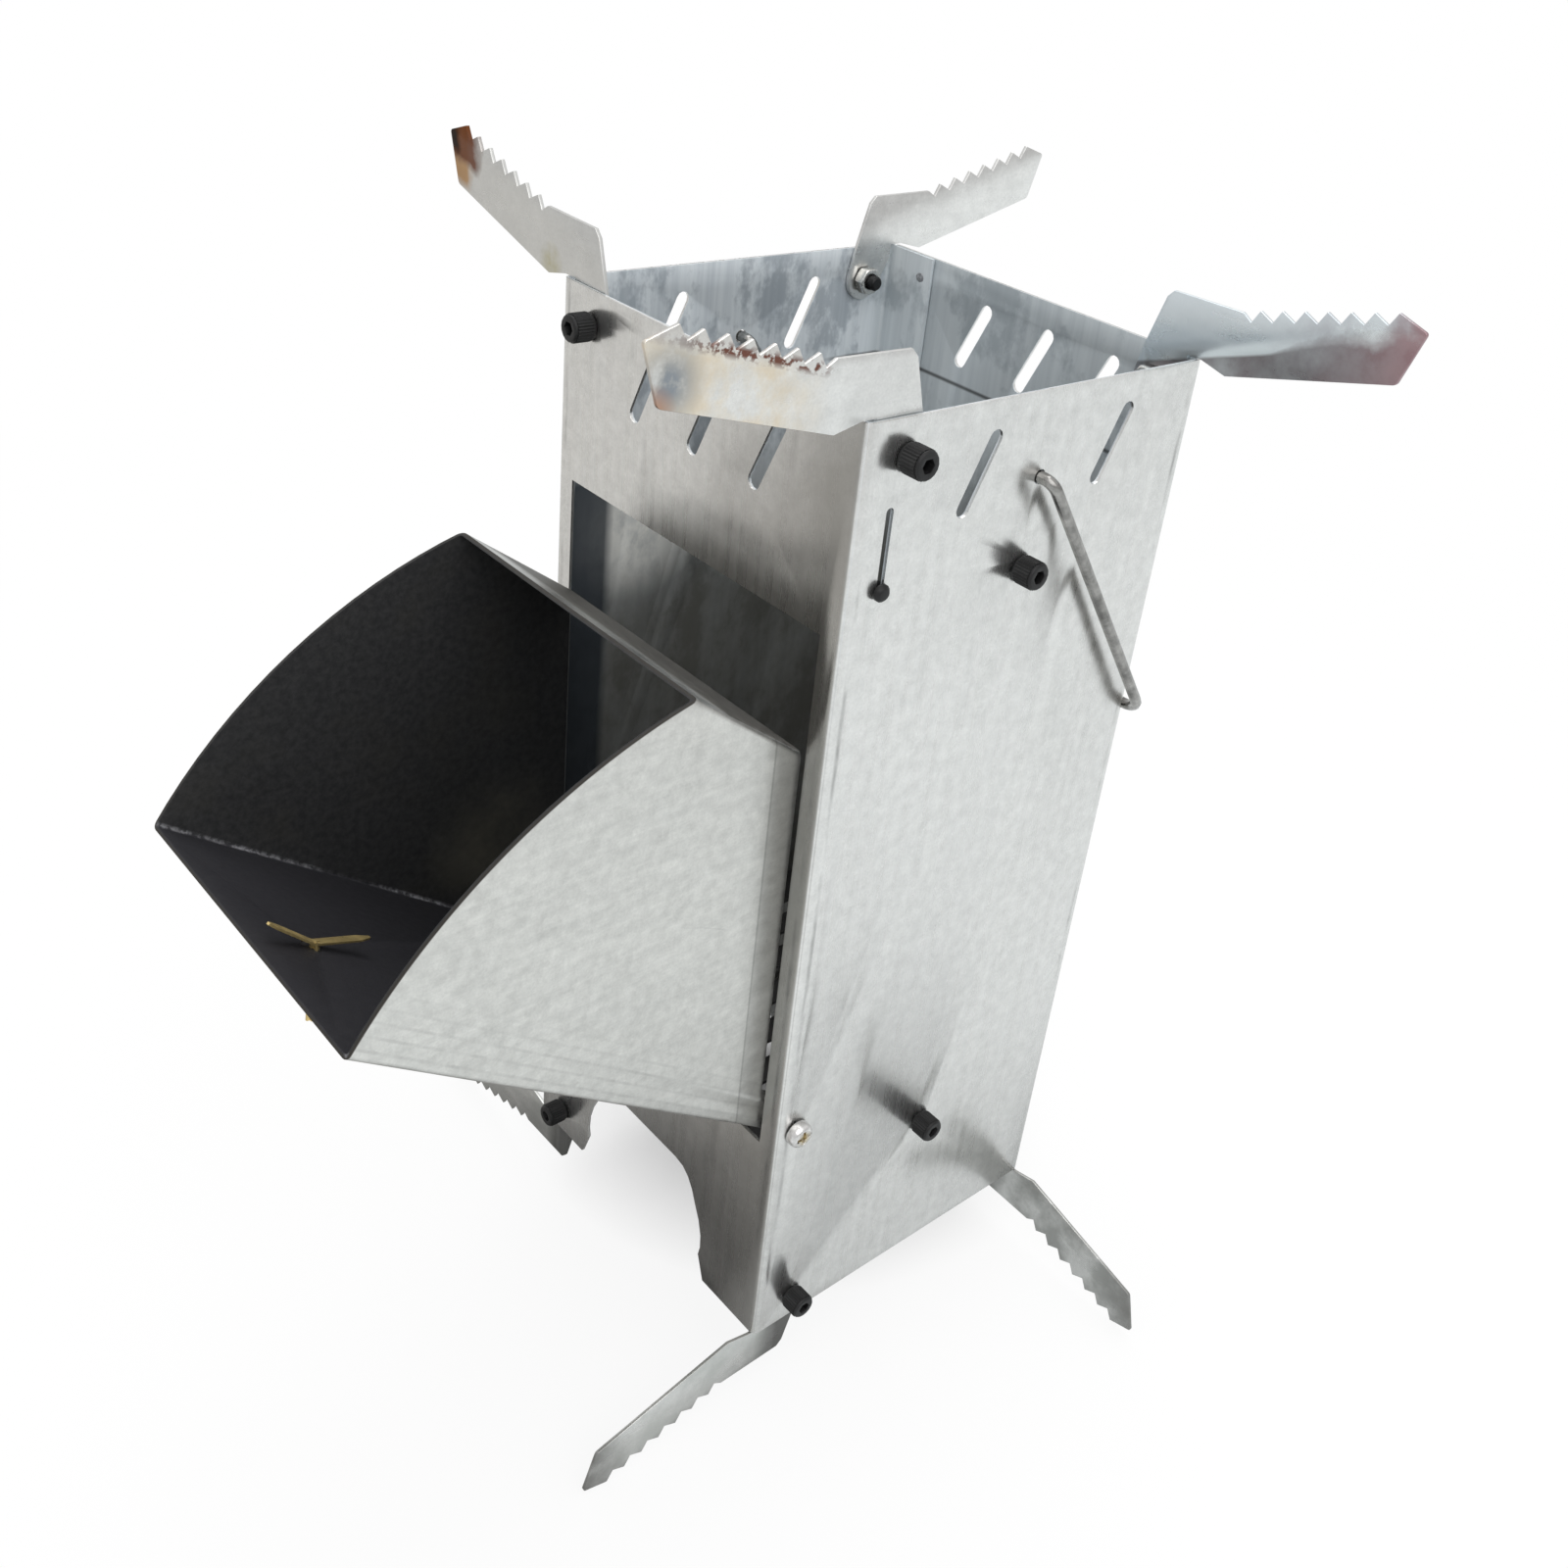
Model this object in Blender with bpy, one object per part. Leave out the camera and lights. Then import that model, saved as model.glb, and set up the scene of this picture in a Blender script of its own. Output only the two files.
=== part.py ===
"""A folding sheet-metal camp stove, standing open and ready for use.

A square tower is bent from one galvanised sheet. Four toothed pot arms and four legs, all cut
to the same outline, turn on cap screws near its corners. A wedge-shaped fuel hopper hangs in
the front opening and closes into it, and a wire bail lies against the back wall.

Everything is laid out in the tower's own frame and in metres: the tower's axis is at
x = y = 0, its bottom edge at z = 0, and its front wall faces -Y. Walls are numbered by
quarter turns about the tower's axis, starting from the front wall.
"""

import math

import bmesh
import bpy
from mathutils import Matrix, Vector

# Tower
TOWER_WIDTH = 0.1143
TOWER_HEIGHT = 0.2794
SHEET = 0.0010
BEND_RADIUS = 0.0022
SEAM_FLANGE_END = 0.0385
WELD_RADIUS = 0.0021
WELD_POSITION = 0.0426
WELD_FROM_RIM = 0.0062

# Clearances
SEAT_GAP = 0.0003
TURNING_CLEARANCE = 0.0003
OPENING_CLEARANCE = 0.0009

# Front opening, foot cut-out and air slots
OPENING_BOTTOM = 0.0715
OPENING_FROM_RIM = 0.0519
OPENING_SIDE_MARGIN = 0.0070
FOOT_ARCH_HEIGHT = 0.0370
FOOT_ARCH_TOP_HALF = 0.0150
FOOT_ARCH_MOUTH_HALF = 0.0324
FOOT_ARCH_THROAT_HALF = 0.0293
FOOT_ARCH_THROAT_HEIGHT = 0.0086
FOOT_ARCH_SWELL = 0.0012
SLOT_RADIUS = 0.0021
SLOT_PITCH = 0.0233
SLOT_LEAN = 0.0074
SLOT_LENGTH = 0.0160
SLOT_FROM_RIM = 0.0172

# Pot arms and legs, all cut to one outline
PLATE_THICKNESS = 0.0010
PIVOT_INSET = 0.01285
PIVOT_FROM_EDGE = 0.0090
LUG_RADIUS = 0.0060
PLATE_BACK_HEIGHT = 0.0215
PLATE_SHOULDER_HEIGHT = 0.0238
PLATE_TOP_FALL = 0.0004
TOOTH_COUNT = 7
TOOTH_PITCH = 0.00604
TOOTH_DEPTH = 0.0028
TOOTH_VALLEY_SHARE = 0.45
TOOTH_SLOPE = math.radians(15.2)
FIRST_TOOTH_OUT = 0.0269
FIRST_TOOTH_UP = 0.0255
TIP_OUT = 0.0698
TIP_UP = 0.0325
TIP_HEEL_OUT = 0.0658
TIP_HEEL_UP = 0.0195
TIP_RADIUS = 0.0008
HEEL_RADIUS = 0.0015
UNDERSIDE_KINK_OUT = 0.0212
UNDERSIDE_DROP = 0.0018
UNDERSIDE_SIDE_GAP = 0.0007

# Black cap screws and their nuts
SCREW_RADIUS = 0.0020
SCREW_HEAD_RADIUS = 0.0035
SCREW_HEAD_HEIGHT = 0.0062
SCREW_EDGE_BREAK = 0.0004
SCREW_TAIL = 0.0025
SOCKET_WIDTH = 0.0032
SOCKET_DEPTH = 0.0030
NUT_WIDTH = 0.0070
NUT_HEIGHT = 0.0032
NUT_CHAMFER = 0.0006

# Screws at the middle of the two side walls
SIDE_SCREW_FROM_RIM = 0.0449
SIDE_SCREW_LOWER_HEIGHT = 0.0537

# Fuel hopper
HOPPER_PIVOT_FROM_FRONT = 0.0062
HOPPER_PIVOT_HEIGHT = 0.0780
HOPPER_SLOPE = math.radians(36.0)
HOPPER_SWING_CLEARANCE = 0.0025
HOPPER_DEPTH = 0.0974
HOPPER_LUG_RADIUS = 0.0056
HOPPER_BACK_GAP = 0.0006
HOPPER_NECK_RISE = 0.0120
HOPPER_BEND_RADIUS = 0.0016
PAN_HEAD_RADIUS = 0.0038
PAN_HEAD_HEIGHT = 0.0034
RECESS_WIDTH = 0.0009
RECESS_LENGTH = 0.0044
RECESS_DEPTH = 0.0016
SPACER_WALL = 0.0014

# Brass fastener through the hopper floor
FASTENER_FROM_MOUTH = 0.0187
FASTENER_HOLE_RADIUS = 0.0026
FASTENER_STRIP_WIDTH = 0.0022
FASTENER_STRIP_THICKNESS = 0.0006
FASTENER_LEG_LENGTH = 0.0175
FASTENER_LEG_RISE = math.radians(11.0)
FASTENER_LEG_TURN = math.radians(10.0)
FASTENER_STEM_LENGTH = 0.0195
FASTENER_HEAD_RADIUS = 0.0056
FASTENER_HEAD_DOME = 0.0026
FASTENER_HEAD_WALL = 0.0006

# Wire bail
BAIL_WIRE_RADIUS = 0.0016
BAIL_PIVOT_Y = 0.0012
BAIL_PIVOT_FROM_RIM = 0.0216
BAIL_SIDE_GAP = 0.0028
BAIL_LEG_LENGTH = 0.0980
BAIL_EYE_BEND = 0.0030
BAIL_HOOK_BEND = 0.0020
BAIL_CORNER_BEND = 0.0070
BAIL_STUB_INSIDE = 0.0038
BAIL_HOOK_LENGTH = 0.0060

# Latch pin in its slot beside the front corner of the right wall
LATCH_FROM_FRONT = 0.0098
LATCH_SLOT_RADIUS = 0.0011
LATCH_FROM_RIM = 0.0404
LATCH_TRAVEL = 0.0190
LATCH_STEM_RADIUS = 0.0008
LATCH_HEAD_RADIUS = 0.0022
LATCH_HEAD_HEIGHT = 0.0016

# Fire grate
GRATE_TOP = 0.0600
GRATE_FLANGE = 0.0110
GRATE_FRONT_GAP = 0.0012
GRATE_SLOT_COUNT = 7
GRATE_SLOT_WIDTH = 0.0050
GRATE_RIB_WIDTH = 0.0080
GRATE_SLOT_LENGTH = 0.0820

FRONT, RIGHT, BACK, LEFT = range(4)
WALL_NAMES = ("front", "right", "back", "left")
QUARTER_TURN = math.pi / 2
ROUND_STEPS = 16

HALF_WIDTH = TOWER_WIDTH / 2
INNER_FACE = HALF_WIDTH - SHEET
PLATE_MIDDLE = INNER_FACE - SEAT_GAP - PLATE_THICKNESS / 2
PLATE_INNER = PLATE_MIDDLE - PLATE_THICKNESS / 2
PIVOT_OFFSET = HALF_WIDTH - PIVOT_INSET
OPENING_HALF = HALF_WIDTH - OPENING_SIDE_MARGIN
OPENING_TOP = TOWER_HEIGHT - OPENING_FROM_RIM
SIDE_SCREW_UPPER_HEIGHT = TOWER_HEIGHT - SIDE_SCREW_FROM_RIM
LATCH_LOW = TOWER_HEIGHT - LATCH_FROM_RIM
HOPPER_HALF = OPENING_HALF - OPENING_CLEARANCE
HOPPER_FLOOR_DROP = HOPPER_LUG_RADIUS
HOPPER_ARC_RADIUS = OPENING_TOP - HOPPER_PIVOT_HEIGHT - HOPPER_SWING_CLEARANCE
FASTENER_FROM_PIVOT = HOPPER_ARC_RADIUS - FASTENER_FROM_MOUTH
SCREW_HOLE_RADIUS = SCREW_RADIUS + TURNING_CLEARANCE

ARM_PIVOT_HEIGHT = TOWER_HEIGHT - PIVOT_FROM_EDGE
LEG_PIVOT_HEIGHT = PIVOT_FROM_EDGE
HOPPER_PIVOT = Vector((0.0, HOPPER_PIVOT_FROM_FRONT - HALF_WIDTH, HOPPER_PIVOT_HEIGHT))
HOPPER_OUTWARD = Vector((0.0, -math.cos(HOPPER_SLOPE), math.sin(HOPPER_SLOPE)))
HOPPER_UPWARD = Vector((0.0, math.sin(HOPPER_SLOPE), math.cos(HOPPER_SLOPE)))
BAIL_PIVOT = Vector((0.0, BAIL_PIVOT_Y, TOWER_HEIGHT - BAIL_PIVOT_FROM_RIM))


def remove_all_objects():
    for existing in list(bpy.data.objects):
        bpy.data.objects.remove(existing, do_unlink=True)


def make_material(name, colour, roughness, metallic):
    material = bpy.data.materials.new(name)
    material.use_nodes = True
    shader = material.node_tree.nodes["Principled BSDF"]
    shader.inputs["Base Color"].default_value = (*colour, 1.0)
    shader.inputs["Roughness"].default_value = roughness
    shader.inputs["Metallic"].default_value = metallic
    return material


# Outlines in the plane

def arc(centre, radius, start, end, steps):
    """Points on an arc about a centre, from one angle to another, both ends included."""
    points = []
    for step in range(steps + 1):
        angle = start + (end - start) * step / steps
        x = centre[0] + radius * math.cos(angle)
        y = centre[1] + radius * math.sin(angle)
        points.append((x, y))
    return points


def circle(centre, radius, steps=ROUND_STEPS):
    return arc(centre, radius, 0.0, math.tau, steps)[:-1]


def polygon(width, sides, turn=0.0):
    """A regular polygon given by its width across flats."""
    radius = width / 2 / math.cos(math.pi / sides)
    return arc((0.0, 0.0), radius, turn, turn + math.tau, sides)[:-1]


def rectangle(low, high):
    return [(low[0], low[1]), (high[0], low[1]), (high[0], high[1]), (low[0], high[1])]


def rounded_corners(points, radii, steps=4):
    """Replaces each corner of a closed outline by an arc of its own radius."""
    outline = []
    count = len(points)
    for index, radius in enumerate(radii):
        corner = Vector(points[index])
        if radius == 0.0:
            outline.append(tuple(corner))
            continue
        before = (Vector(points[index - 1]) - corner).normalized()
        after = (Vector(points[(index + 1) % count]) - corner).normalized()
        half_angle = before.angle(after) / 2
        centre = corner + (before + after).normalized() * radius / math.sin(half_angle)
        first = corner + before * radius / math.tan(half_angle) - centre
        last = corner + after * radius / math.tan(half_angle) - centre
        turn = first.angle_signed(last)
        for step in range(steps + 1):
            spoke = first.copy()
            spoke.rotate(Matrix.Rotation(-turn * step / steps, 2))
            outline.append(tuple(centre + spoke))
    return outline


def bent_strip(corners, thickness, middle_radius, steps=4):
    """Closed outline of a strip of sheet whose middle line bends left at each inner corner."""
    left_side = []
    right_side = []
    last = len(corners) - 1
    for index, corner in enumerate(corners):
        corner = Vector(corner)
        if index in (0, last):
            neighbour = Vector(corners[1] if index == 0 else corners[last - 1])
            heading = neighbour - corner if index == 0 else corner - neighbour
            heading.normalize()
            normal = Vector((-heading.y, heading.x))
            left_side.append(tuple(corner + normal * thickness / 2))
            right_side.append(tuple(corner - normal * thickness / 2))
            continue
        heading = (corner - Vector(corners[index - 1])).normalized()
        leaving = (Vector(corners[index + 1]) - corner).normalized()
        centre = corner + (leaving - heading) * middle_radius
        start = math.atan2(-leaving.y, -leaving.x)
        for step in range(steps + 1):
            angle = start + QUARTER_TURN * step / steps
            spoke = Vector((math.cos(angle), math.sin(angle)))
            left_side.append(tuple(centre + spoke * (middle_radius - thickness / 2)))
            right_side.append(tuple(centre + spoke * (middle_radius + thickness / 2)))
    return left_side + right_side[::-1]


# Solids

def finish(work, name):
    bmesh.ops.recalc_face_normals(work, faces=work.faces)
    mesh = bpy.data.meshes.new(name)
    work.to_mesh(mesh)
    work.free()
    return mesh


def prism(name, outline, low, high, placing=Matrix.Identity(4)):
    """A closed outline drawn in XY, extruded along Z from low to high, then placed."""
    work = bmesh.new()
    ring = [work.verts.new((x, y, low)) for x, y in outline]
    face = work.faces.new(ring)
    grown = bmesh.ops.extrude_face_region(work, geom=[face])
    moved = [item for item in grown["geom"] if isinstance(item, bmesh.types.BMVert)]
    bmesh.ops.translate(work, verts=moved, vec=(0.0, 0.0, high - low))
    bmesh.ops.transform(work, matrix=placing, verts=work.verts)
    return finish(work, name)


def turned(name, profile, steps=ROUND_STEPS, placing=Matrix.Identity(4)):
    """A profile of (radius, height) pairs turned about Z; radius 0 ends close on the axis."""
    work = bmesh.new()
    rings = []
    for radius, height in profile:
        if radius == 0.0:
            rings.append([work.verts.new((0.0, 0.0, height))])
            continue
        ring = [work.verts.new((x, y, height)) for x, y in circle((0.0, 0.0), radius, steps)]
        rings.append(ring)
    for lower, upper in zip(rings, rings[1:] + rings[:1]):
        if len(lower) == 1 and len(upper) == 1:
            continue
        for step in range(steps):
            following = (step + 1) % steps
            if len(lower) == 1:
                work.faces.new((lower[0], upper[step], upper[following]))
            elif len(upper) == 1:
                work.faces.new((lower[step], upper[0], lower[following]))
            else:
                corners = (lower[step], lower[following], upper[following], upper[step])
                work.faces.new(corners)
    bmesh.ops.transform(work, matrix=placing, verts=work.verts)
    return finish(work, name)


def joined(meshes, name):
    """Several separate closed meshes in one mesh, for use as one cutter."""
    work = bmesh.new()
    for mesh in meshes:
        work.from_mesh(mesh)
    mesh = bpy.data.meshes.new(name)
    work.to_mesh(mesh)
    work.free()
    return mesh


def combined(name, base, steps):
    """Applies a list of (operation, tool mesh) Booleans to a base mesh in turn."""
    body = bpy.data.objects.new(name, base)
    bpy.context.collection.objects.link(body)
    tools = []
    for operation, tool_mesh in steps:
        tool = bpy.data.objects.new(name + "_tool", tool_mesh)
        tool.hide_render = True
        tool.display_type = "WIRE"
        bpy.context.collection.objects.link(tool)
        tools.append(tool)
        boolean = body.modifiers.new(operation, "BOOLEAN")
        boolean.operation = operation
        boolean.solver = "EXACT"
        boolean.object = tool
    depsgraph = bpy.context.evaluated_depsgraph_get()
    result = bpy.data.meshes.new_from_object(body.evaluated_get(depsgraph))
    result.name = name
    for item in tools + [body]:
        bpy.data.objects.remove(item, do_unlink=True)
    return result


def smooth(mesh, angle=math.radians(35)):
    mesh.shade_smooth()
    mesh.set_sharp_from_angle(angle=angle)
    return mesh


def place(name, mesh, material, parent, location, rotation=(0.0, 0.0, 0.0)):
    piece = bpy.data.objects.new(name, mesh)
    if not mesh.materials:
        mesh.materials.append(material)
    piece.location = location
    piece.rotation_euler = rotation
    piece.parent = parent
    bpy.context.collection.objects.link(piece)
    return piece


# Places on the four walls

def wall_turn(wall):
    return Matrix.Rotation(wall * QUARTER_TURN, 4, "Z")


def wall_frame(wall):
    """Takes X to along the wall, Y to up and Z to out of the wall, from the tower's axis."""
    upright = Matrix.Rotation(QUARTER_TURN, 4, "X")
    return wall_turn(wall) @ upright


def through_wall(name, wall, outline):
    """A cutter through one wall, drawn as it is seen from outside."""
    return prism(name, outline, INNER_FACE - 4 * SHEET, HALF_WIDTH + SHEET, wall_frame(wall))


def on_wall(wall, along, height, outward):
    return wall_turn(wall) @ Vector((along, -outward, height))


def facing_out(wall):
    return (QUARTER_TURN, 0.0, wall * QUARTER_TURN)


# Sign of the tower's own +X or +Y along each wall, as seen from outside
WALL_SIGN = {FRONT: 1.0, RIGHT: 1.0, BACK: -1.0, LEFT: -1.0}
SLOT_SHIFT = {FRONT: 0.0030, RIGHT: 0.0030, BACK: 0.0035, LEFT: -0.0003}


# Tower

def slanted_slot(middle, sign):
    """A round-ended air slot that leans over by SLOT_LEAN, drawn on its wall."""
    centre = Vector((middle * sign, TOWER_HEIGHT - SLOT_FROM_RIM))
    half = Vector((SLOT_LEAN * sign, SLOT_LENGTH)) / 2
    heading = math.atan2(half.y, half.x)
    upper = arc(centre + half, SLOT_RADIUS, heading - QUARTER_TURN, heading + QUARTER_TURN, 6)
    lower = arc(centre - half, SLOT_RADIUS, heading + QUARTER_TURN, heading + 3 * QUARTER_TURN, 6)
    return upper + lower


def foot_arch():
    """The cut-out under the front wall: flat top, drawn-in throat and flared feet."""
    mouth = FOOT_ARCH_MOUTH_HALF
    throat = FOOT_ARCH_THROAT_HALF
    knee = FOOT_ARCH_THROAT_HEIGHT
    corner = FOOT_ARCH_TOP_HALF
    rise = FOOT_ARCH_HEIGHT - knee
    half = [(mouth, -SHEET), (mouth, 0.0), (throat, knee)]
    belly = 8
    for step in range(1, belly):
        share = step / belly
        swell = FOOT_ARCH_SWELL * math.sin(math.pi * min(1.0, 2 * share))
        angle = share * QUARTER_TURN
        x = corner + (throat - corner) * math.cos(angle) ** 0.8 + swell
        y = knee + rise * math.sin(angle) ** 1.3
        half.append((x, y))
    half.append((corner, FOOT_ARCH_HEIGHT))
    return half + [(-x, y) for x, y in reversed(half)]


def tower_cutters():
    cutters = []
    opening = rectangle((-OPENING_HALF, OPENING_BOTTOM), (OPENING_HALF, OPENING_TOP))
    cutters.append(through_wall("front_opening", FRONT, opening))
    cutters.append(through_wall("foot_arch", FRONT, foot_arch()))
    for wall in (FRONT, RIGHT, BACK, LEFT):
        sign = WALL_SIGN[wall]
        for number in (-1, 0, 1):
            if number == 0 and wall in (RIGHT, LEFT):
                continue
            slot = slanted_slot(SLOT_SHIFT[wall] + number * SLOT_PITCH, sign)
            cutters.append(through_wall("air_slot", wall, slot))
        for height in (ARM_PIVOT_HEIGHT, LEG_PIVOT_HEIGHT):
            hole = circle((-PIVOT_OFFSET, height), SCREW_HOLE_RADIUS)
            cutters.append(through_wall("pivot_hole", wall, hole))
    for wall in (RIGHT, LEFT):
        sign = WALL_SIGN[wall]
        for height in (SIDE_SCREW_UPPER_HEIGHT, SIDE_SCREW_LOWER_HEIGHT):
            hole = circle((0.0, height), SCREW_HOLE_RADIUS)
            cutters.append(through_wall("side_hole", wall, hole))
        centre = (BAIL_PIVOT.y * sign, BAIL_PIVOT.z)
        hole = circle(centre, BAIL_WIRE_RADIUS + TURNING_CLEARANCE)
        cutters.append(through_wall("bail_hole", wall, hole))
        centre = (HOPPER_PIVOT.y * sign, HOPPER_PIVOT.z)
        hole = circle(centre, SCREW_HOLE_RADIUS)
        cutters.append(through_wall("hopper_hole", wall, hole))
    cutters.append(through_wall("latch_slot", RIGHT, latch_slot()))
    return cutters


def latch_slot():
    along = LATCH_FROM_FRONT - HALF_WIDTH
    upper = arc((along, LATCH_LOW + LATCH_TRAVEL), LATCH_SLOT_RADIUS, 0.0, math.pi, 6)
    lower = arc((along, LATCH_LOW), LATCH_SLOT_RADIUS, math.pi, math.tau, 6)
    return upper + lower


def seam_welds():
    """Spots that join the seam flange to the back wall across the gap between them."""
    welds = []
    low = INNER_FACE - SEAT_GAP - SHEET / 2
    high = INNER_FACE + SHEET / 2
    for height in (TOWER_HEIGHT - WELD_FROM_RIM, TOWER_HEIGHT / 2, WELD_FROM_RIM):
        outline = circle((WELD_POSITION, height), WELD_RADIUS)
        welds.append(prism("weld", outline, low, high, wall_frame(BACK)))
    return joined(welds, "seam_welds")


def tower_mesh():
    """One bent sheet whose seam flange lies inside the back wall, at the left corner."""
    middle = HALF_WIDTH - SHEET / 2
    flange = INNER_FACE - SEAT_GAP - SHEET / 2
    corners = [
        (-SEAM_FLANGE_END, flange),
        (-middle, flange),
        (-middle, -middle),
        (middle, -middle),
        (middle, middle),
        (BEND_RADIUS - HALF_WIDTH, middle),
    ]
    outline = bent_strip(corners, SHEET, BEND_RADIUS - SHEET / 2)
    sheet = prism("tower_sheet", outline, 0.0, TOWER_HEIGHT)
    cutters = joined(tower_cutters(), "tower_cutters")
    mesh = combined("tower_shell", sheet, [("UNION", seam_welds()), ("DIFFERENCE", cutters)])
    return smooth(mesh)


# Pot arms and legs

def plate_outline():
    """Arm seen from outside its wall: X runs out past the corner, Y up, pivot at the origin."""
    lug_start = math.radians(-20)
    lug_end = math.radians(-190)
    outline = arc((0.0, 0.0), LUG_RADIUS, lug_start, lug_end, 12)
    back = PLATE_BACK_HEIGHT
    shoulder = PLATE_SHOULDER_HEIGHT
    outline.append((-0.72 * LUG_RADIUS, 1.4 * LUG_RADIUS))
    outline.append((-0.07 * LUG_RADIUS, back))
    outline.append((0.23 * LUG_RADIUS, shoulder - PLATE_TOP_FALL))
    along = Vector((math.cos(TOOTH_SLOPE), math.sin(TOOTH_SLOPE)))
    across = Vector((-along.y, along.x))
    first = Vector((FIRST_TOOTH_OUT, FIRST_TOOTH_UP))
    outline.append((FIRST_TOOTH_OUT - 0.75 * TOOTH_PITCH, shoulder))
    for tooth in range(TOOTH_COUNT):
        peak = first + along * TOOTH_PITCH * tooth
        valley = peak - along * TOOTH_PITCH * TOOTH_VALLEY_SHARE - across * TOOTH_DEPTH
        outline.append(tuple(valley))
        outline.append(tuple(peak))
    rim_seat = PIVOT_FROM_EDGE + SEAT_GAP
    inside = PIVOT_INSET - SHEET - SEAT_GAP - BEND_RADIUS
    tip = [(TIP_OUT, TIP_UP), (TIP_HEEL_OUT, TIP_HEEL_UP)]
    kink = (UNDERSIDE_KINK_OUT, rim_seat - UNDERSIDE_DROP)
    rounding = rounded_corners([outline[-1]] + tip + [kink],
                               [0.0, TIP_RADIUS, HEEL_RADIUS, 0.0])
    outline += rounding[1:]
    outline.append((PIVOT_INSET + UNDERSIDE_SIDE_GAP, rim_seat))
    outline.append((inside, rim_seat))
    outline.append((inside, 0.9 * LUG_RADIUS))
    return outline


def plate_mesh():
    upright = Matrix.Rotation(QUARTER_TURN, 4, "X")
    half = PLATE_THICKNESS / 2
    blank = prism("plate_blank", plate_outline(), -half, half, upright)
    hole = circle((0.0, 0.0), SCREW_HOLE_RADIUS)
    drill = prism("plate_drill", hole, -PLATE_THICKNESS, PLATE_THICKNESS, upright)
    return combined("toothed_plate", blank, [("DIFFERENCE", drill)])


# Screws, nuts and spacers

def cap_screw_mesh(name, grip):
    """Origin on the outer wall face, head outwards along Z, shank through the grip and a nut."""
    under = SEAT_GAP
    top = under + SCREW_HEAD_HEIGHT
    end = -(grip + NUT_HEIGHT + SCREW_TAIL)
    profile = [
        (0.0, end),
        (SCREW_RADIUS - SCREW_EDGE_BREAK, end),
        (SCREW_RADIUS, end + SCREW_EDGE_BREAK),
        (SCREW_RADIUS, under),
        (SCREW_HEAD_RADIUS, under),
        (SCREW_HEAD_RADIUS, top - SCREW_EDGE_BREAK),
        (SCREW_HEAD_RADIUS - SCREW_EDGE_BREAK, top),
        (0.0, top),
    ]
    body = turned(name + "_body", profile)
    socket = prism(name + "_socket", polygon(SOCKET_WIDTH, 6), top - SOCKET_DEPTH, top + SHEET)
    return smooth(combined(name, body, [("DIFFERENCE", socket)]))


def pan_screw_mesh(name, grip):
    """Cross-recessed pan head screw, laid out like the cap screw."""
    under = SEAT_GAP
    top = under + PAN_HEAD_HEIGHT
    end = -(grip + NUT_HEIGHT + SCREW_TAIL)
    profile = [(0.0, end), (SCREW_RADIUS - SCREW_EDGE_BREAK, end)]
    profile.append((SCREW_RADIUS, end + SCREW_EDGE_BREAK))
    profile.append((SCREW_RADIUS, under))
    crown = 5
    for step in range(crown):
        angle = QUARTER_TURN * step / crown
        radius = PAN_HEAD_RADIUS * (0.55 + 0.45 * math.cos(angle))
        height = under + PAN_HEAD_HEIGHT * (0.35 + 0.65 * math.sin(angle))
        if step == 0:
            profile.append((PAN_HEAD_RADIUS, under))
        profile.append((radius, height))
    profile.append((0.0, top))
    body = turned(name + "_body", profile)
    half_long = RECESS_LENGTH / 2
    half_wide = RECESS_WIDTH / 2
    low = top - RECESS_DEPTH
    high = top + SHEET
    one = rectangle((-half_long, -half_wide), (half_long, half_wide))
    other = rectangle((-half_wide, -half_long), (half_wide, half_long))
    steps = [("DIFFERENCE", prism(name + "_recess", one, low, high))]
    steps.append(("DIFFERENCE", prism(name + "_recess", other, low, high)))
    return smooth(combined(name, body, steps))


def nut_mesh():
    """Hexagon nut with turned corners, resting on Z = 0 and reaching down along -Z."""
    blank = prism("nut_blank", polygon(NUT_WIDTH, 6), -NUT_HEIGHT, 0.0)
    corner = NUT_WIDTH / 2 / math.cos(math.pi / 6)
    flat = NUT_WIDTH / 2
    profile = [
        (0.0, -NUT_HEIGHT),
        (flat, -NUT_HEIGHT),
        (corner + SEAT_GAP, NUT_CHAMFER - NUT_HEIGHT),
        (corner + SEAT_GAP, -NUT_CHAMFER),
        (flat, 0.0),
        (0.0, 0.0),
    ]
    rounding = turned("nut_rounding", profile, 24)
    hole = circle((0.0, 0.0), SCREW_RADIUS + TURNING_CLEARANCE)
    bore = prism("nut_bore", hole, -NUT_HEIGHT - SHEET, SHEET)
    steps = [("INTERSECT", rounding), ("DIFFERENCE", bore)]
    return smooth(combined("hex_nut", blank, steps))


def spacer_mesh(length):
    inner = SCREW_RADIUS + TURNING_CLEARANCE
    outer = inner + SPACER_WALL
    profile = [(inner, -length), (outer, -length), (outer, 0.0), (inner, 0.0)]
    return smooth(turned("hopper_spacer", profile))


# Hopper

def hopper_frame():
    """Takes X across the hopper, Y square to its floor and Z out along its floor."""
    across = Vector((1.0, 0.0, 0.0))
    columns = Matrix((across, HOPPER_UPWARD, HOPPER_OUTWARD)).transposed()
    return columns.to_4x4()


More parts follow.
